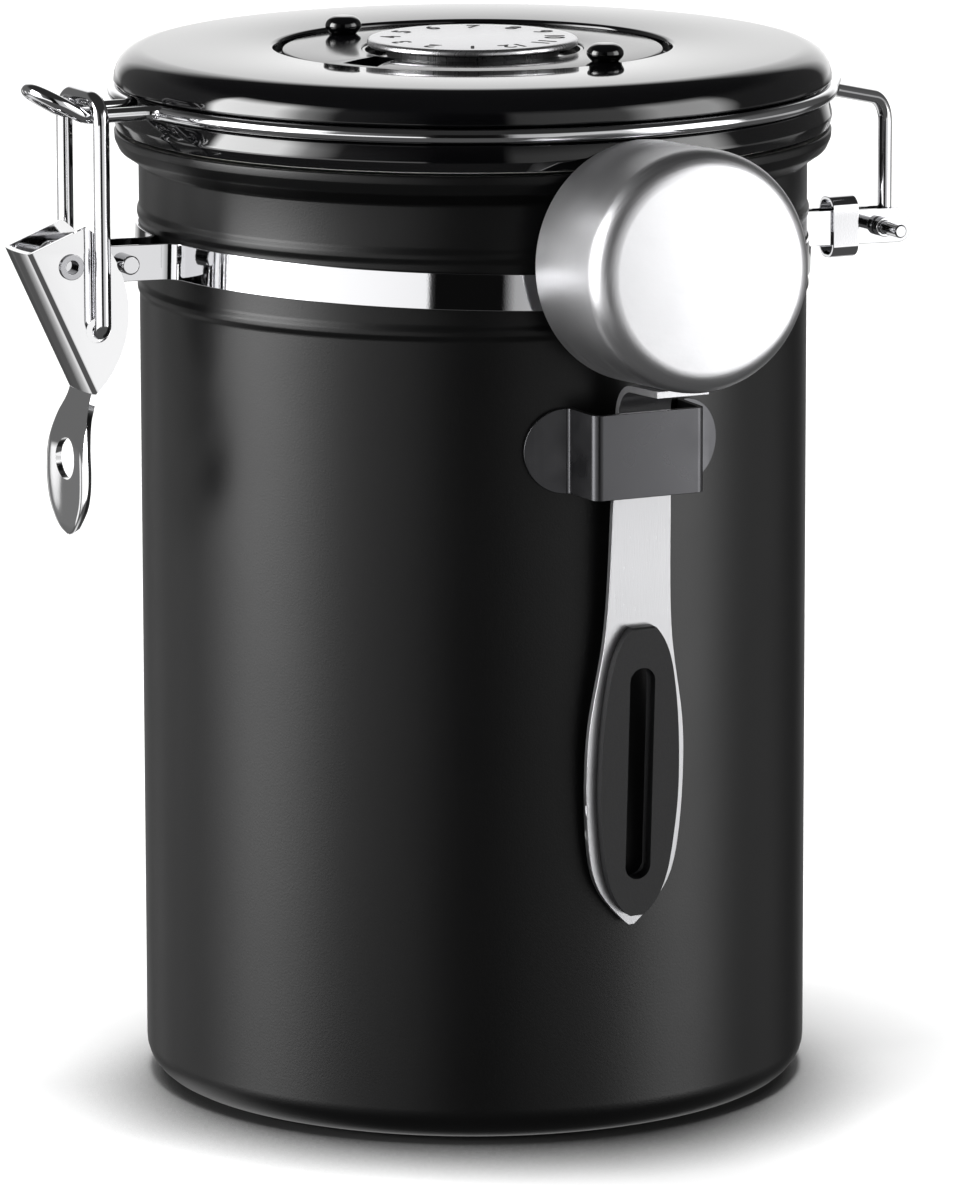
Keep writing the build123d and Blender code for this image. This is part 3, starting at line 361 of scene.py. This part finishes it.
def makeLid():
    t, w, d, r = lid["top"], lid["wall"], lid["wellDepth"], lid["well"]
    foot, brink, under = lid["wellBends"]
    outer = [(0, t - d, 0), (r, t - d, foot), (r, t, brink), (lid["roll"], t, lid["rollBend"]), *lid["skirt"]]
    inner = [*lid["lining"], (lid["roll"] - w, t - w, lid["rollBend"] - w), (r + w, t - w, under),
             (r + w, t - d - w, under), (0, t - d - w, 0)]
    finishPiece("lidShell", spinProfile(outer + inner, 240), "lid", lidEnamel, ("lid_shell",))


makeLid()


# Ring wire: tongue, root bends and the ring in one closed loop, then the hinge arm, leg and pin
ringWire = {"radius": 1.25, "ring": 62.0, "z": 173.7, "strand": 4.8, "root": 3.0, "knee": 75.4, "kneeBend": 6.0,
            "pitch": 30, "tip": 83.1, "armAngle": 27, "arm": ((60.6, -19.6, 173.7), (66.5, -7.5, 170.2)),
            "leg": (81.7, 0, 166.6), "legBend": 5, "legPast": 0.6,
            "pin": (79.7, 144.143), "pinFrom": 4.1, "pinTip": 1.05,
            # the pin's chamfer, length and crimped end: each run and how much it widens by
            "pinRuns": ((0.15, 1.14), (13.45, 1), (0.25, 0.8))}


def makeRingWire():
    w = ringWire
    strand, z = w["strand"], w["z"]
    reach, side = w["ring"] + w["root"], w["strand"] + w["root"]
    rootX = -math.sqrt(reach ** 2 - side ** 2)
    touch = math.asin(side / reach)
    pitch = math.radians(w["pitch"])
    tipRun = (w["tip"] - w["knee"]) / math.cos(pitch)
    tip = (-w["tip"], w["z"] + tipRun * math.sin(pitch))
    bm = bmesh.new()
    section = wireSection(bm, (rootX, -strand, z), (-1, 0, 0), w["radius"])
    # the tongue's end is a half circle as wide as its strands are apart, less a hair so that the corners don't meet
    tipBend = strand - 0.001
    end = pullAlong(bm, section, [
        (rootX, -strand, z, 0), (-w["knee"], -strand, z, w["kneeBend"]), (tip[0], -strand, tip[1], tipBend),
        (tip[0], strand, tip[1], tipBend), (-w["knee"], strand, z, w["kneeBend"]), (rootX, strand, z, 0)])
    rootTurn = math.pi / 2 - touch
    end = pullBend(bm, end, Vector((rootX, side, w["z"])) * mm, zAxis, rootTurn)
    end = pullBend(bm, end, Vector((0, 0, w["z"])) * mm, -zAxis, math.tau - 2 * touch)
    pullBend(bm, end, Vector((rootX, -side, w["z"])) * mm, zAxis, rootTurn)
    bmesh.ops.remove_doubles(bm, verts=bm.verts, dist=0.01 * mm)
    arm = math.radians(w["armAngle"])
    start = Vector((w["ring"] * math.cos(arm), -w["ring"] * math.sin(arm), w["z"]))
    pinX, pinZ = w["pin"]
    section = wireSection(bm, start, Vector(w["arm"][0]) - start, w["radius"])
    corners = [(*corner, w["legBend"]) for corner in (*w["arm"], w["leg"])]
    pullAlong(bm, section, [(*start, 0), *corners, (w["leg"][0], 0, pinZ - w["legPast"], 0)])
    along = w["pinFrom"]
    end = wireSection(bm, (pinX, along, pinZ), (0, -1, 0), w["pinTip"])
    for run, grow in w["pinRuns"]:
        end = pullRun(bm, end, (0, -run * mm, 0))
        along -= run
        bmesh.ops.scale(bm, vec=(grow, 1, grow), space=Matrix.Translation(Vector((-pinX, -along, -pinZ)) * mm),
                        verts=ringVerts(end))
    capEnds(bm)
    finishPiece("ringWire", bm, "lid", springWire, ("ring_wire",))


makeRingWire()


# Latch link: bent loop whose hooked ends stop outside the lever's side plates, in line with their holes
link = {"radius": 1.4, "x": -73.65, "half": 7.8, "top": 176.6, "topBend": 4, "foot": 137.221, "footBend": 1.5,
        "end": 6.25}


def makeLink():
    k = link
    bm = bmesh.new()
    section = wireSection(bm, (k["x"], -k["end"], k["foot"]), (0, -1, 0), k["radius"])
    pullAlong(bm, section, [
        (k["x"], -k["end"], k["foot"], 0), (k["x"], -k["half"], k["foot"], k["footBend"]),
        (k["x"], -k["half"], k["top"], k["topBend"]), (k["x"], k["half"], k["top"], k["topBend"]),
        (k["x"], k["half"], k["foot"], k["footBend"]), (k["x"], k["end"], k["foot"], 0)])
    capEnds(bm)
    finishPiece("latchLink", bm, "link", springWire, ("latch_link",))


makeLink()


# Clamp band: two half straps, bent out into ears at the latch and at the hinge
band = {"z": 146.3, "tilt": 1.55, "height": 6.2, "thickness": 0.6, "radius": 58.43, "bend": 3.2,
        "hingeEar": (86.3, 1.85), "latchEar": (80.2, 4.1), "corner": 2.9}


def makeBand(name, node, side):
    b = band
    tilt = Matrix.Translation((0, 0, b["z"] * mm)) @ Matrix.Rotation(math.radians(b["tilt"]), 4, "Y")
    reach = b["radius"] + b["bend"]
    hingeEnd, hingeY = b["hingeEar"]
    latchEnd, latchY = b["latchEar"]
    hingeTurn = math.asin((hingeY + b["bend"]) / reach)
    latchTurn = math.asin((latchY + b["bend"]) / reach)
    hingeX, latchX = reach * math.cos(hingeTurn), reach * math.cos(latchTurn)
    bm = bmesh.new()
    ring = stripSection(bm, (hingeEnd, side * hingeY, 0), (0, 1, 0), (0, 0, 1), b["thickness"], b["height"])
    ring = pullRun(bm, ring, ((hingeX - hingeEnd) * mm, 0, 0))
    ring = pullBend(bm, ring, Vector((hingeX, side * (hingeY + b["bend"]), 0)) * mm, -zAxis * side,
                    math.pi / 2 - hingeTurn)
    ring = pullBend(bm, ring, (0, 0, 0), zAxis * side, math.pi - hingeTurn - latchTurn)
    ring = pullBend(bm, ring, Vector((-latchX, side * (latchY + b["bend"]), 0)) * mm, -zAxis * side,
                    math.pi / 2 - latchTurn)
    pullRun(bm, ring, ((latchX - latchEnd) * mm, 0, 0))
    capEnds(bm)
    # the edges across the strip's thickness at both ends are rounded off
    tips = []
    for edge in bm.edges:
        one, two = [vert.co for vert in edge.verts]
        atEnd = one.x > (hingeEnd - 0.01) * mm or one.x < (0.01 - latchEnd) * mm
        if atEnd and abs(one.x - two.x) < 1e-7 and abs(one.z - two.z) < 1e-7:
            tips.append(edge)
    bmesh.ops.bevel(bm, geom=tips, offset=b["corner"] * mm, offset_type="OFFSET", affect="EDGES", segments=8,
                    profile=0.5, material=-1)
    bmesh.ops.transform(bm, matrix=tilt, verts=bm.verts)
    finishPiece(name, bm, "canister", strapSteel, (node,), bevel=0.12)


makeBand("bandFront", "band_front", -1)
makeBand("bandRear", "band_rear", 1)


# Scoop clip: one strip with a round-ended tab on the body at each side of its bridge
clip = {"z": 112.5, "height": 14.5, "sheet": 1.0, "tab": 18.2, "root": 11.6, "front": 67.2, "half": 10.4, "bend": 1.6,
        "lead": 0.9, "rootBend": 0.7, "bodyFace": 58.02, "tabCuts": 30}


def makeClip():
    # the outer face is pulled as one sheet from tab to tab, rounded at both ends, then thickened
    c = clip
    tabR = c["bodyFace"] + c["sheet"]
    tabTurn, rootTurn = math.asin(c["tab"] / tabR), math.asin(c["root"] / tabR)
    middle = c["z"] + c["height"] / 2
    bm = bmesh.new()
    corner = Vector((-math.sin(tabTurn), -math.cos(tabTurn), 0)) * tabR
    first = bm.verts.new(corner * mm + Vector((0, 0, c["z"])) * mm)
    upright = bmesh.ops.extrude_vert_indiv(bm, verts=[first])
    bmesh.ops.translate(bm, verts=upright["verts"], vec=(0, 0, c["height"] * mm))
    ring = pullBend(bm, upright["edges"], (0, 0, 0), zAxis, tabTurn - rootTurn)
    root = [Vector((side * tabR * math.sin(rootTurn), -tabR * math.cos(rootTurn), middle)) for side in (-1, 1)]
    lead = [root[index] + Vector((side * math.cos(rootTurn), -math.sin(rootTurn), 0)) * c["lead"]
            for index, side in ((0, 1), (1, -1))]
    ring = pullAlong(bm, ring, [
        (*root[0], 0), (*lead[0], c["rootBend"]), (-c["half"], -c["front"], middle, c["bend"]),
        (c["half"], -c["front"], middle, c["bend"]), (*lead[1], c["rootBend"]), (*root[1], 0)])
    pullBend(bm, ring, (0, 0, 0), zAxis, tabTurn - rootTurn)
    reach = c["height"] / 2
    for side in (-1, 1):
        along = Vector((side * math.cos(tabTurn), math.sin(tabTurn), 0))
        end = Vector((side * tabR * math.sin(tabTurn), -tabR * math.cos(tabTurn), middle))
        for step in range(1, c["tabCuts"]):
            turn = math.pi * (step / c["tabCuts"] - 0.5)
            out = along * math.cos(turn) + zAxis * math.sin(turn)
            trim(bm, end - along * reach + out * reach, out)
    thicken(bm, c["sheet"])
    finishPiece("scoopClip", bm, "canister", clipCoat, ("scoop_clip",), bevel=0.15, smooth=32,
                merge=0.01)


makeClip()


# Scoop cup: drawn cup, open towards the canister
cup = {"radius": 20.3, "wall": 0.7, "depth": 23, "edge": 4.0, "lipBend": 0.25,
       "front": 64.46, "z": 152.2, "tilt": 2.7}


def makeCup():
    c = cup
    r, w, d, e = c["radius"], c["wall"], c["depth"], c["edge"]
    lip = c["lipBend"]
    profile = [(0, d, 0), (r, d, e), (r, 0, lip), (r - w, 0, lip), (r - w, d - w, e - w), (0, d - w, 0)]
    bm = spinProfile(profile, 120)
    lean = Matrix.Rotation(math.radians(90 - c["tilt"]), 4, "X")
    place = Matrix.Translation((0, -c["front"] * mm, c["z"] * mm)) @ lean
    bmesh.ops.transform(bm, matrix=place, verts=bm.verts)
    finishPiece("scoopCup", bm, "scoop", cupSteel, ("scoop_cup",))


makeCup()


# Dial: enamelled day ring with a window, steel month disc with its numbers, two ball knobs
dial = {"top": 180.6, "low": 179.4, "outer": 33, "bore": 19.2,
        # inner and outer radius, azimuth at each, half its angle
        "window": (20.4, 30.4, -73.5, -65.8, 7.3), "cutBelow": 1, "cutThrough": 4,
        "disc": 18.3, "discTop": 182.4, "discEdge": 0.8, "discPlate": 1.3, "hub": 15,
        "knob": [(0, 0, 0), (2.3, 0, 0.3), (3.2, 1, 1), (3.2, 3.1, 2), (0, 3.1, 0)],
        "knobCircle": 29.7, "knobAngle": 23.5, "clearance": 0.02,
        # the numbers lie on a circle, each turned on from the one before by digitStep degrees
        "digitCircle": 14.0, "digitHeight": 3.5, "firstDigit": -26.2, "digitStep": -30}


def dialPoint(radius, azimuth, z):
    # azimuth is counted from -Y towards +X
    turn = math.radians(azimuth)
    return Vector((radius * math.sin(turn), -radius * math.cos(turn), z))


def makeDial():
    d = dial
    low, top = d["low"], d["top"]
    bm = spinProfile([(d["bore"], low, 0), (d["outer"], low, 0.1), (d["outer"], top, 0.35), (d["bore"], top, 0.35)])
    inner, outer, innerAt, outerAt, half = d["window"]
    window = bmesh.new()
    bmesh.ops.create_grid(window, x_segments=10, y_segments=2, size=1)
    for vert in window.verts:
        share = (vert.co.y + 1) / 2
        azimuth = innerAt + (outerAt - innerAt) * share + half * vert.co.x
        vert.co = dialPoint(inner + (outer - inner) * share, azimuth, low - d["cutBelow"]) * mm
    grown = bmesh.ops.extrude_face_region(window, geom=window.faces[:])
    bmesh.ops.translate(window, verts=vertsOf(grown["geom"]), vec=(0, 0, d["cutThrough"] * mm))
    bmesh.ops.recalc_face_normals(window, faces=window.faces)
    bm = cutAway(bm, [window])
    finishPiece("dayRing", bm, "day_ring", ringEnamel, ("day_ring",), smooth=30)
    face, edge = d["discTop"], d["discEdge"]
    under = face - d["discPlate"]
    disc = spinProfile([(0, face, 0), (d["disc"], face, edge), (d["disc"], under, edge / 2), (d["hub"], under, 0.1),
                        (d["hub"], low, 0.1), (0, low, 0)])
    finishPiece("monthDisc", disc, "month_disc", discSteel, ("month_disc",))
    for index in (0, 1):
        at = dialPoint(d["knobCircle"], d["knobAngle"] + 180 * index, top + d["clearance"])
        knob = spinProfile(d["knob"], 48)
        bmesh.ops.translate(knob, verts=knob.verts, vec=at * mm)
        replaces = () if index else ("dial_knobs",)
        finishPiece(f"dialKnob{index + 1}", knob, "day_ring", lidEnamel, replaces)


def makeDigits():
    # plain numbers with their feet to the middle, each laid flat on the month disc
    d = dial
    for index in range(12):
        word = str(index + 1)
        curve = bpy.data.curves.new("month", "FONT")
        curve.body, curve.size, curve.align_x, curve.align_y = word, d["digitHeight"] * 1.4 * mm, "CENTER", "CENTER"
        curve.extrude, curve.offset = 0.02 * mm, 0.06 * mm
        curve.resolution_u = 4
        sign = bpy.data.objects.new("month", curve)
        mesh = bpy.data.meshes.new_from_object(sign)
        bpy.data.objects.remove(sign)
        azimuth = d["firstDigit"] + d["digitStep"] * index
        place = Matrix.Translation(dialPoint(d["digitCircle"], azimuth, d["discTop"] + d["clearance"]) * mm)
        mesh.transform(place @ Matrix.Rotation(math.radians(azimuth + 180), 4, "Z"))
        mesh.materials.clear()
        mesh.materials.append(dialInk)
        digit = bpy.data.objects.new(f"month{word}", mesh)
        bpy.context.scene.collection.objects.link(digit)
        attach(digit, "month_disc")


makeDial()
makeDigits()
print("main pieces made")


# Latch lever: sheet folded into a channel, its back carried on down as a dished, pierced tail
# Corners are (x, z); the side plates are pulled longer than they end up, by plate and length, and trimmed
lever = {"half": 5.5, "sheet": 0.8, "bend": 0.95, "bendTurn": 84, "plate": 22, "below": 4,
         "length": 40, "bellyCuts": 24,
         "back": (-86.45, 150.921), "foot": (-74.85, 126.221), "top": (-75.6, 155.021), "belly": (-67.95, 141.221),
         "toe": (-74.15, 126.221), "hole": (-73.65, 137.221, 2.15), "pivot": (-78.4, 148.421, 1.72)}
# The tail's inner face (height, x) and half width (height, y); its dish and raised edge fade out at the neck
tail = {"spine": [(101.9, -76.2), (104, -76.6), (108, -76.75), (112, -76.8), (116, -76.65), (119, -76.1),
                  (121.5, -75.3), (123.5, -74.4), (125.3, -73.75), (126.6, -73.55), (128.4, -74.1)],
        "widths": [(101.9, 0.3), (102.6, 2.6), (104.5, 5.0), (107, 7.0), (110, 7.95), (112.5, 8.1),
                   (115, 7.9), (118, 7.2), (120.5, 6.3), (123, 5.3), (125.3, 4.7), (128.4, 4.5)],
        "dish": 0.25, "rim": 0.5, "rimPower": 16, "bowlEnd": 0.82, "bowlPower": 1.2, "sheet": 1.1,
        # half height, half width and middle of the hole
        "hole": (3.6, 3.95, 114.6)}


def circleThrough(a, b, c):
    # centre and radius of the circle through three points
    (ax, ay), (bx, by), (cx, cy) = a, b, c
    d = 2 * (ax * (by - cy) + bx * (cy - ay) + cx * (ay - by))
    sa, sb, sc = ax * ax + ay * ay, bx * bx + by * by, cx * cx + cy * cy
    x = (sa * (by - cy) + sb * (cy - ay) + sc * (ay - by)) / d
    y = (sa * (cx - bx) + sb * (ax - cx) + sc * (bx - ax)) / d
    return x, y, math.hypot(ax - x, ay - y)


def makeLever():
    v = lever
    half, bend, turn, plate = v["half"], v["bend"], math.radians(v["bendTurn"]), v["plate"]
    foot, back = [Vector((v[name][0], 0, v[name][1])) for name in ("foot", "back")]
    rise = (back - foot).normalized()
    inward = Vector((rise.z, 0, -rise.x))
    low = foot - rise * v["below"]
    # the fold's section: front plate, tight bend, slightly crowned web, tight bend, rear plate
    crown = (half - bend * (1 - math.cos(turn))) / math.cos(turn)
    depth = bend * math.sin(turn) + crown * (1 - math.sin(turn))
    bm = bmesh.new()
    point = bm.verts.new((low + inward * plate + Vector((0, -half, 0))) * mm)
    heading = -inward
    for run, angle, radius in ((plate - depth, turn, bend), (0, math.pi - 2 * turn, crown), (0, turn, bend),
                               (plate - depth, 0, 0)):
        if run:
            point = bmesh.ops.extrude_vert_indiv(bm, verts=[point])["verts"][0]
            bmesh.ops.translate(bm, verts=[point], vec=heading * run * mm)
        if angle:
            centre = point.co + (-rise).cross(heading) * radius * mm
            arc = bmesh.ops.spin(bm, geom=[point], cent=centre, axis=-rise, dvec=(0, 0, 0), angle=angle, steps=8,
                                 use_duplicate=False, use_merge=False)
            point = vertsOf(arc["geom_last"])[0]
            heading = Matrix.Rotation(angle, 3, -rise) @ heading
    pullRun(bm, bm.edges[:], rise * v["length"] * mm)
    # trimmed to the side plates' outline: straight top, then the belly's arc
    x, z, radius = circleThrough(v["top"], v["belly"], v["toe"])
    run, climb = v["top"][0] - v["back"][0], v["top"][1] - v["back"][1]
    cuts = [(back, Vector((-climb, 0, run)))]
    firstTurn = math.atan2(v["top"][1] - z, v["top"][0] - x)
    lastTurn = math.atan2(v["toe"][1] - z, v["toe"][0] - x)
    for step in range(v["bellyCuts"] + 1):
        turn = firstTurn + (lastTurn - firstTurn) * step / v["bellyCuts"]
        out = Vector((math.cos(turn), 0, math.sin(turn)))
        cuts.append((Vector((x, 0, z)) + out * radius, out))
    cuts.append((foot, Vector((0, 0, -1))))
    for point, out in cuts:
        trim(bm, point, out)
    bmesh.ops.remove_doubles(bm, verts=bm.verts, dist=0.005 * mm)
    thicken(bm, v["sheet"])
    hx, hz, hr = v["hole"]
    px, pz, pr = v["pivot"]
    bm = cutAway(bm, [drill((hx, 0, hz), hr, hr, (0, 1, 0)), drill((px, 0, pz), pr, pr, (0, 1, 0))])
    finishPiece("latchLever", bm, "lever", leverSteel, ("latch_lever",), 0.15, 32, 0.005)


def smoothAt(table, t):
    # a smooth value between the table's stations
    for index in range(len(table) - 1):
        if t <= table[index + 1][0] or index == len(table) - 2:
            (t0, a), (t1, b) = table[index], table[index + 1]
            before = table[index - 1] if index else table[index]
            after = table[index + 2] if index + 2 < len(table) else table[index + 1]
            slopeA = (b - before[1]) / (t1 - before[0])
            slopeB = (after[1] - a) / (after[0] - t0)
            span = t1 - t0
            u = (t - t0) / span
            return (a * (2 * u ** 3 - 3 * u * u + 1) + b * (3 * u * u - 2 * u ** 3)
                    + span * (slopeA * (u ** 3 - 2 * u * u + u) + slopeB * (u ** 3 - u * u)))


def makeTail():
    a = tail
    low, high = a["spine"][0][0], a["spine"][-1][0]
    bm = bmesh.new()
    bmesh.ops.create_grid(bm, x_segments=48, y_segments=60, size=1)
    for vert in bm.verts:
        across, along = vert.co.x, (vert.co.y + 1) / 2
        z = low + (high - low) * along
        bowl = math.sin(math.pi * min(1, along / a["bowlEnd"])) ** a["bowlPower"]
        shape = a["dish"] * (1 - across ** 2) ** 2 + a["rim"] * abs(across) ** a["rimPower"]
        x = smoothAt(a["spine"], z) + bowl * shape
        vert.co = Vector((x, across * smoothAt(a["widths"], z), z)) * mm
    thicken(bm, -a["sheet"])
    tall, wide, middle = a["hole"]
    bm = cutAway(bm, [drill((a["spine"][0][1], 0, middle), wide, tall, (1, 0, 0))])
    finishPiece("leverTail", bm, "lever", leverSteel, (), bevel=0.18, smooth=40, merge=0.005)


makeLever()
makeTail()


# Pieces whose CAD shape is right: merged copies with softened edges
dressed = {
    "scoop_handle": ("scoop", handleSteel, 0.15), "scoop_grip": ("scoop", gripRubber, 0.3),
    "hinge_sleeve": ("canister", strapSteel, 0.12), "band_rivet": ("canister", strapSteel, 0.1),
    "lever_eyelet": ("canister", eyeletSteel, 0.1), "pin_collars": ("lid", springWire, 0.15),
    "day_plate": ("lid", lidEnamel, 0.05), "lid_pan": ("lid", bodyCoat, 0.1),
    "lid_gasket": ("lid", sealSilicone, 0.1), "valve_housing": ("lid", valveNylon, 0.1),
    "valve_cap": ("lid", valveNylon, 0.1), "valve_filter": ("lid", filterFelt, 0.1),
    "valve_membrane": ("valve", sealSilicone, 0.1), "dial_stud": ("lid", strapSteel, 0.1),
}
for node, (ridesOn, material, bevel) in dressed.items():
    tidyCopy(node, ridesOn, material, bevel)
print("dressed CAD pieces:", len(dressed))


# Floor, light and camera
# the floor's own colour, and the painted shadow mixed into it near the canister: shadow colour, occlusion reach and
# range
ground = {"size": 3, "drop": -0.0002, "colour": "#F4F4F4", "shade": "#303030", "shadeReach": 40,
          "shadeFrom": 0.35, "shadeTo": 0.78, "towardsLight": {"X": 0.3, "Y": 0.6, "Z": 0.74}}


def makeFloor():
    bm = bmesh.new()
    bmesh.ops.create_grid(bm, x_segments=1, y_segments=1, size=ground["size"])
    mesh = bpy.data.meshes.new("floor")
    bm.to_mesh(mesh)
    bm.free()
    floor = bpy.data.objects.new("floor", mesh)
    floor.location.z = ground["drop"]
    bpy.context.scene.collection.objects.link(floor)
    material, tree, surface = startMaterial("paleStudioFloor", ground["colour"], 0, 0.8)[:3]
    # painted shadow: the floor's colour darkens near the canister by ambient occlusion, tilted so that the shade
    # gathers on the camera's side, as under a light from above and behind
    back = addNode(tree, "ShaderNodeCombineXYZ", ground["towardsLight"])
    paintedShadowOcclusion = addNode(tree, "ShaderNodeAmbientOcclusion", {"samples": 16, "Distance": ground["shadeReach"] * mm},
                      {"Normal": back.outputs["Vector"]})
    paintedShadow = addNode(tree, "ShaderNodeMapRange", {"From Min": ground["shadeFrom"], "From Max": ground["shadeTo"]},
                     {"Value": paintedShadowOcclusion.outputs["AO"]})
    dark, light = paint(ground["shade"]), paint(ground["colour"])
    colour = addNode(tree, "ShaderNodeMix", {"data_type": "RGBA", 6: dark, 7: light}, {0: paintedShadow.outputs["Result"]})
    tree.links.new(colour.outputs[2], surface.inputs["Base Color"])
    mesh.materials.append(material)
    floor.visible_glossy = False


studio = {"cameraAzimuth": -26.2,
          # light round the object, below and above the horizon: degrees from the camera's side, brightness
          "low": [(-180, 0.05), (-166, 0.05), (-158, 0.004), (-150, 0.004), (-148, 0.07), (-142, 0.07), (-140, 0.015),
                  (-128, 0.015), (-126, 0.09), (-119, 0.09), (-117, 0.01), (-110, 0.01), (-108, 0.09), (-96, 0.09),
                  (-86, 0.36), (-64, 0.32), (-52, 0.12), (-15, 0.1), (-14, 0.0004), (10, 0.0004), (14, 0.04),
                  (50, 0.085), (55, 0.1), (62, 0.34), (84, 0.34), (96, 0.03), (118, 0.04), (130, 0.04), (134, 0.004),
                  (158, 0.004), (166, 0.05), (180, 0.05)],
          "high": [(-180, 0.099), (-162, 0.096), (-152, 0.012), (-94, 0.012), (-90, 0.9), (-66, 0.9), (-56, 0.25),
                   (-44, 0.015), (-11, 0.0004), (10, 0.0004), (14, 0.04), (50, 0.06), (62, 0.34), (84, 0.34),
                   (94, 0.01), (150, 0.006), (162, 0.096), (180, 0.099)],
          "strength": 12.0, "top": 0.03, "dim": 0.09, "table": 0.8, "sun": 3.5, "sunAngle": 22,
          # where one light fades into the next: the z of the direction, or its y for farFrom
          "horizon": (-0.11, -0.06), "topFrom": (0.42, 0.62), "dimFrom": (-0.29, -0.38), "tableFrom": (-0.42, -0.5),
          "farFrom": (0.45, 0.65)}


def makeStudio():
    world = bpy.data.worlds.new("studio")
    bpy.context.scene.world = world
    world.use_nodes = True
    tree = world.node_tree
    tree.nodes.clear()
    where = addNode(tree, "ShaderNodeTexCoord")
    axes = addNode(tree, "ShaderNodeSeparateXYZ", links={"Vector": where.outputs["Generated"]})
    flipped = addNode(tree, "ShaderNodeMath", {"operation": "MULTIPLY", 1: -1}, {0: axes.outputs["Y"]})
    angle = addNode(tree, "ShaderNodeMath", {"operation": "ARCTAN2"}, {0: axes.outputs["X"], 1: flipped.outputs[0]})
    turned = addNode(tree, "ShaderNodeMath", {"operation": "SUBTRACT", 1: math.radians(studio["cameraAzimuth"])},
                     {0: angle.outputs[0]})
    wrapped = addNode(tree, "ShaderNodeMath", {"operation": "WRAP", 1: math.pi, 2: -math.pi}, {0: turned.outputs[0]})
    share = addNode(tree, "ShaderNodeMapRange", {"From Min": -math.pi, "From Max": math.pi},
                    {"Value": wrapped.outputs[0]})
    walls = {}
    for name in ("low", "high"):
        ramp = addNode(tree, "ShaderNodeValToRGB", links={"Fac": share.outputs["Result"]})
        stops = ramp.color_ramp.elements
        for index, (degrees, value) in enumerate(studio[name]):
            stop = stops[index] if index < 2 else stops.new(1)
            stop.position = (degrees + 180) / 360
            stop.color = (value, value, value, 1)
        walls[name] = addNode(tree, "ShaderNodeMath", {"operation": "MULTIPLY", 1: studio["strength"]},
                              {0: ramp.outputs["Color"]})
    fades = {}
    for name, axis in (("horizon", "Z"), ("topFrom", "Z"), ("dimFrom", "Z"), ("tableFrom", "Z"), ("farFrom", "Y")):
        first, last = studio[name]
        fade = addNode(tree, "ShaderNodeMapRange", {"From Min": first, "From Max": last},
                       {"Value": axes.outputs[axis]})
        fades[name] = fade.outputs["Result"]
    sides = addNode(tree, "ShaderNodeMix", {"data_type": "FLOAT"},
                    {0: fades["horizon"], 2: walls["low"].outputs[0], 3: walls["high"].outputs[0]})
    upper = addNode(tree, "ShaderNodeMix", {"data_type": "FLOAT", 3: studio["top"]},
                    {0: fades["topFrom"], 2: sides.outputs[0]})
    dimmed = addNode(tree, "ShaderNodeMix", {"data_type": "FLOAT", 3: studio["dim"]},
                     {0: fades["dimFrom"], 2: upper.outputs[0]})
    farTable = addNode(tree, "ShaderNodeMath", {"operation": "MULTIPLY"},
                       {0: fades["tableFrom"], 1: fades["farFrom"]})
    mixed = addNode(tree, "ShaderNodeMix", {"data_type": "FLOAT", 3: studio["table"]},
                    {0: farTable.outputs[0], 2: dimmed.outputs[0]})
    lit = addNode(tree, "ShaderNodeBackground", {"Color": paint("#FFFFFF")}, {"Strength": mixed.outputs[0]})
    plain = addNode(tree, "ShaderNodeBackground", {"Color": paint("#FFFFFF"), "Strength": 1.0})
    path = addNode(tree, "ShaderNodeLightPath")
    both = addNode(tree, "ShaderNodeMixShader",
                   links={0: path.outputs["Is Camera Ray"], 1: lit.outputs[0], 2: plain.outputs[0]})
    addNode(tree, "ShaderNodeOutputWorld", links={"Surface": both.outputs[0]})
    lamp = bpy.data.lights.new("overheadLight", "SUN")
    lamp.energy, lamp.angle = studio["sun"], math.radians(studio["sunAngle"])
    overhead = bpy.data.objects.new("overheadLight", lamp)
    overhead.visible_glossy = False
    bpy.context.scene.collection.objects.link(overhead)


view = {"lens": 247.2, "sensor": 36, "clip": (0.05, 20), "place": (-0.62581, -1.27181, 0.36425),
        "turn": (78.7787, 0.1118, -26.3363)}


def makeCamera():
    lens = bpy.data.cameras.new("camera")
    lens.sensor_fit, lens.sensor_height, lens.sensor_width = "AUTO", view["sensor"], view["sensor"]
    lens.lens = view["lens"]
    lens.clip_start, lens.clip_end = view["clip"]
    camera = bpy.data.objects.new("camera", lens)
    camera.location = view["place"]
    camera.rotation_euler = [math.radians(degrees) for degrees in view["turn"]]
    bpy.context.scene.collection.objects.link(camera)
    bpy.context.scene.camera = camera


makeFloor()
makeStudio()
makeCamera()
bpy.context.scene.view_settings.view_transform = "Standard"
print("studio and camera set")
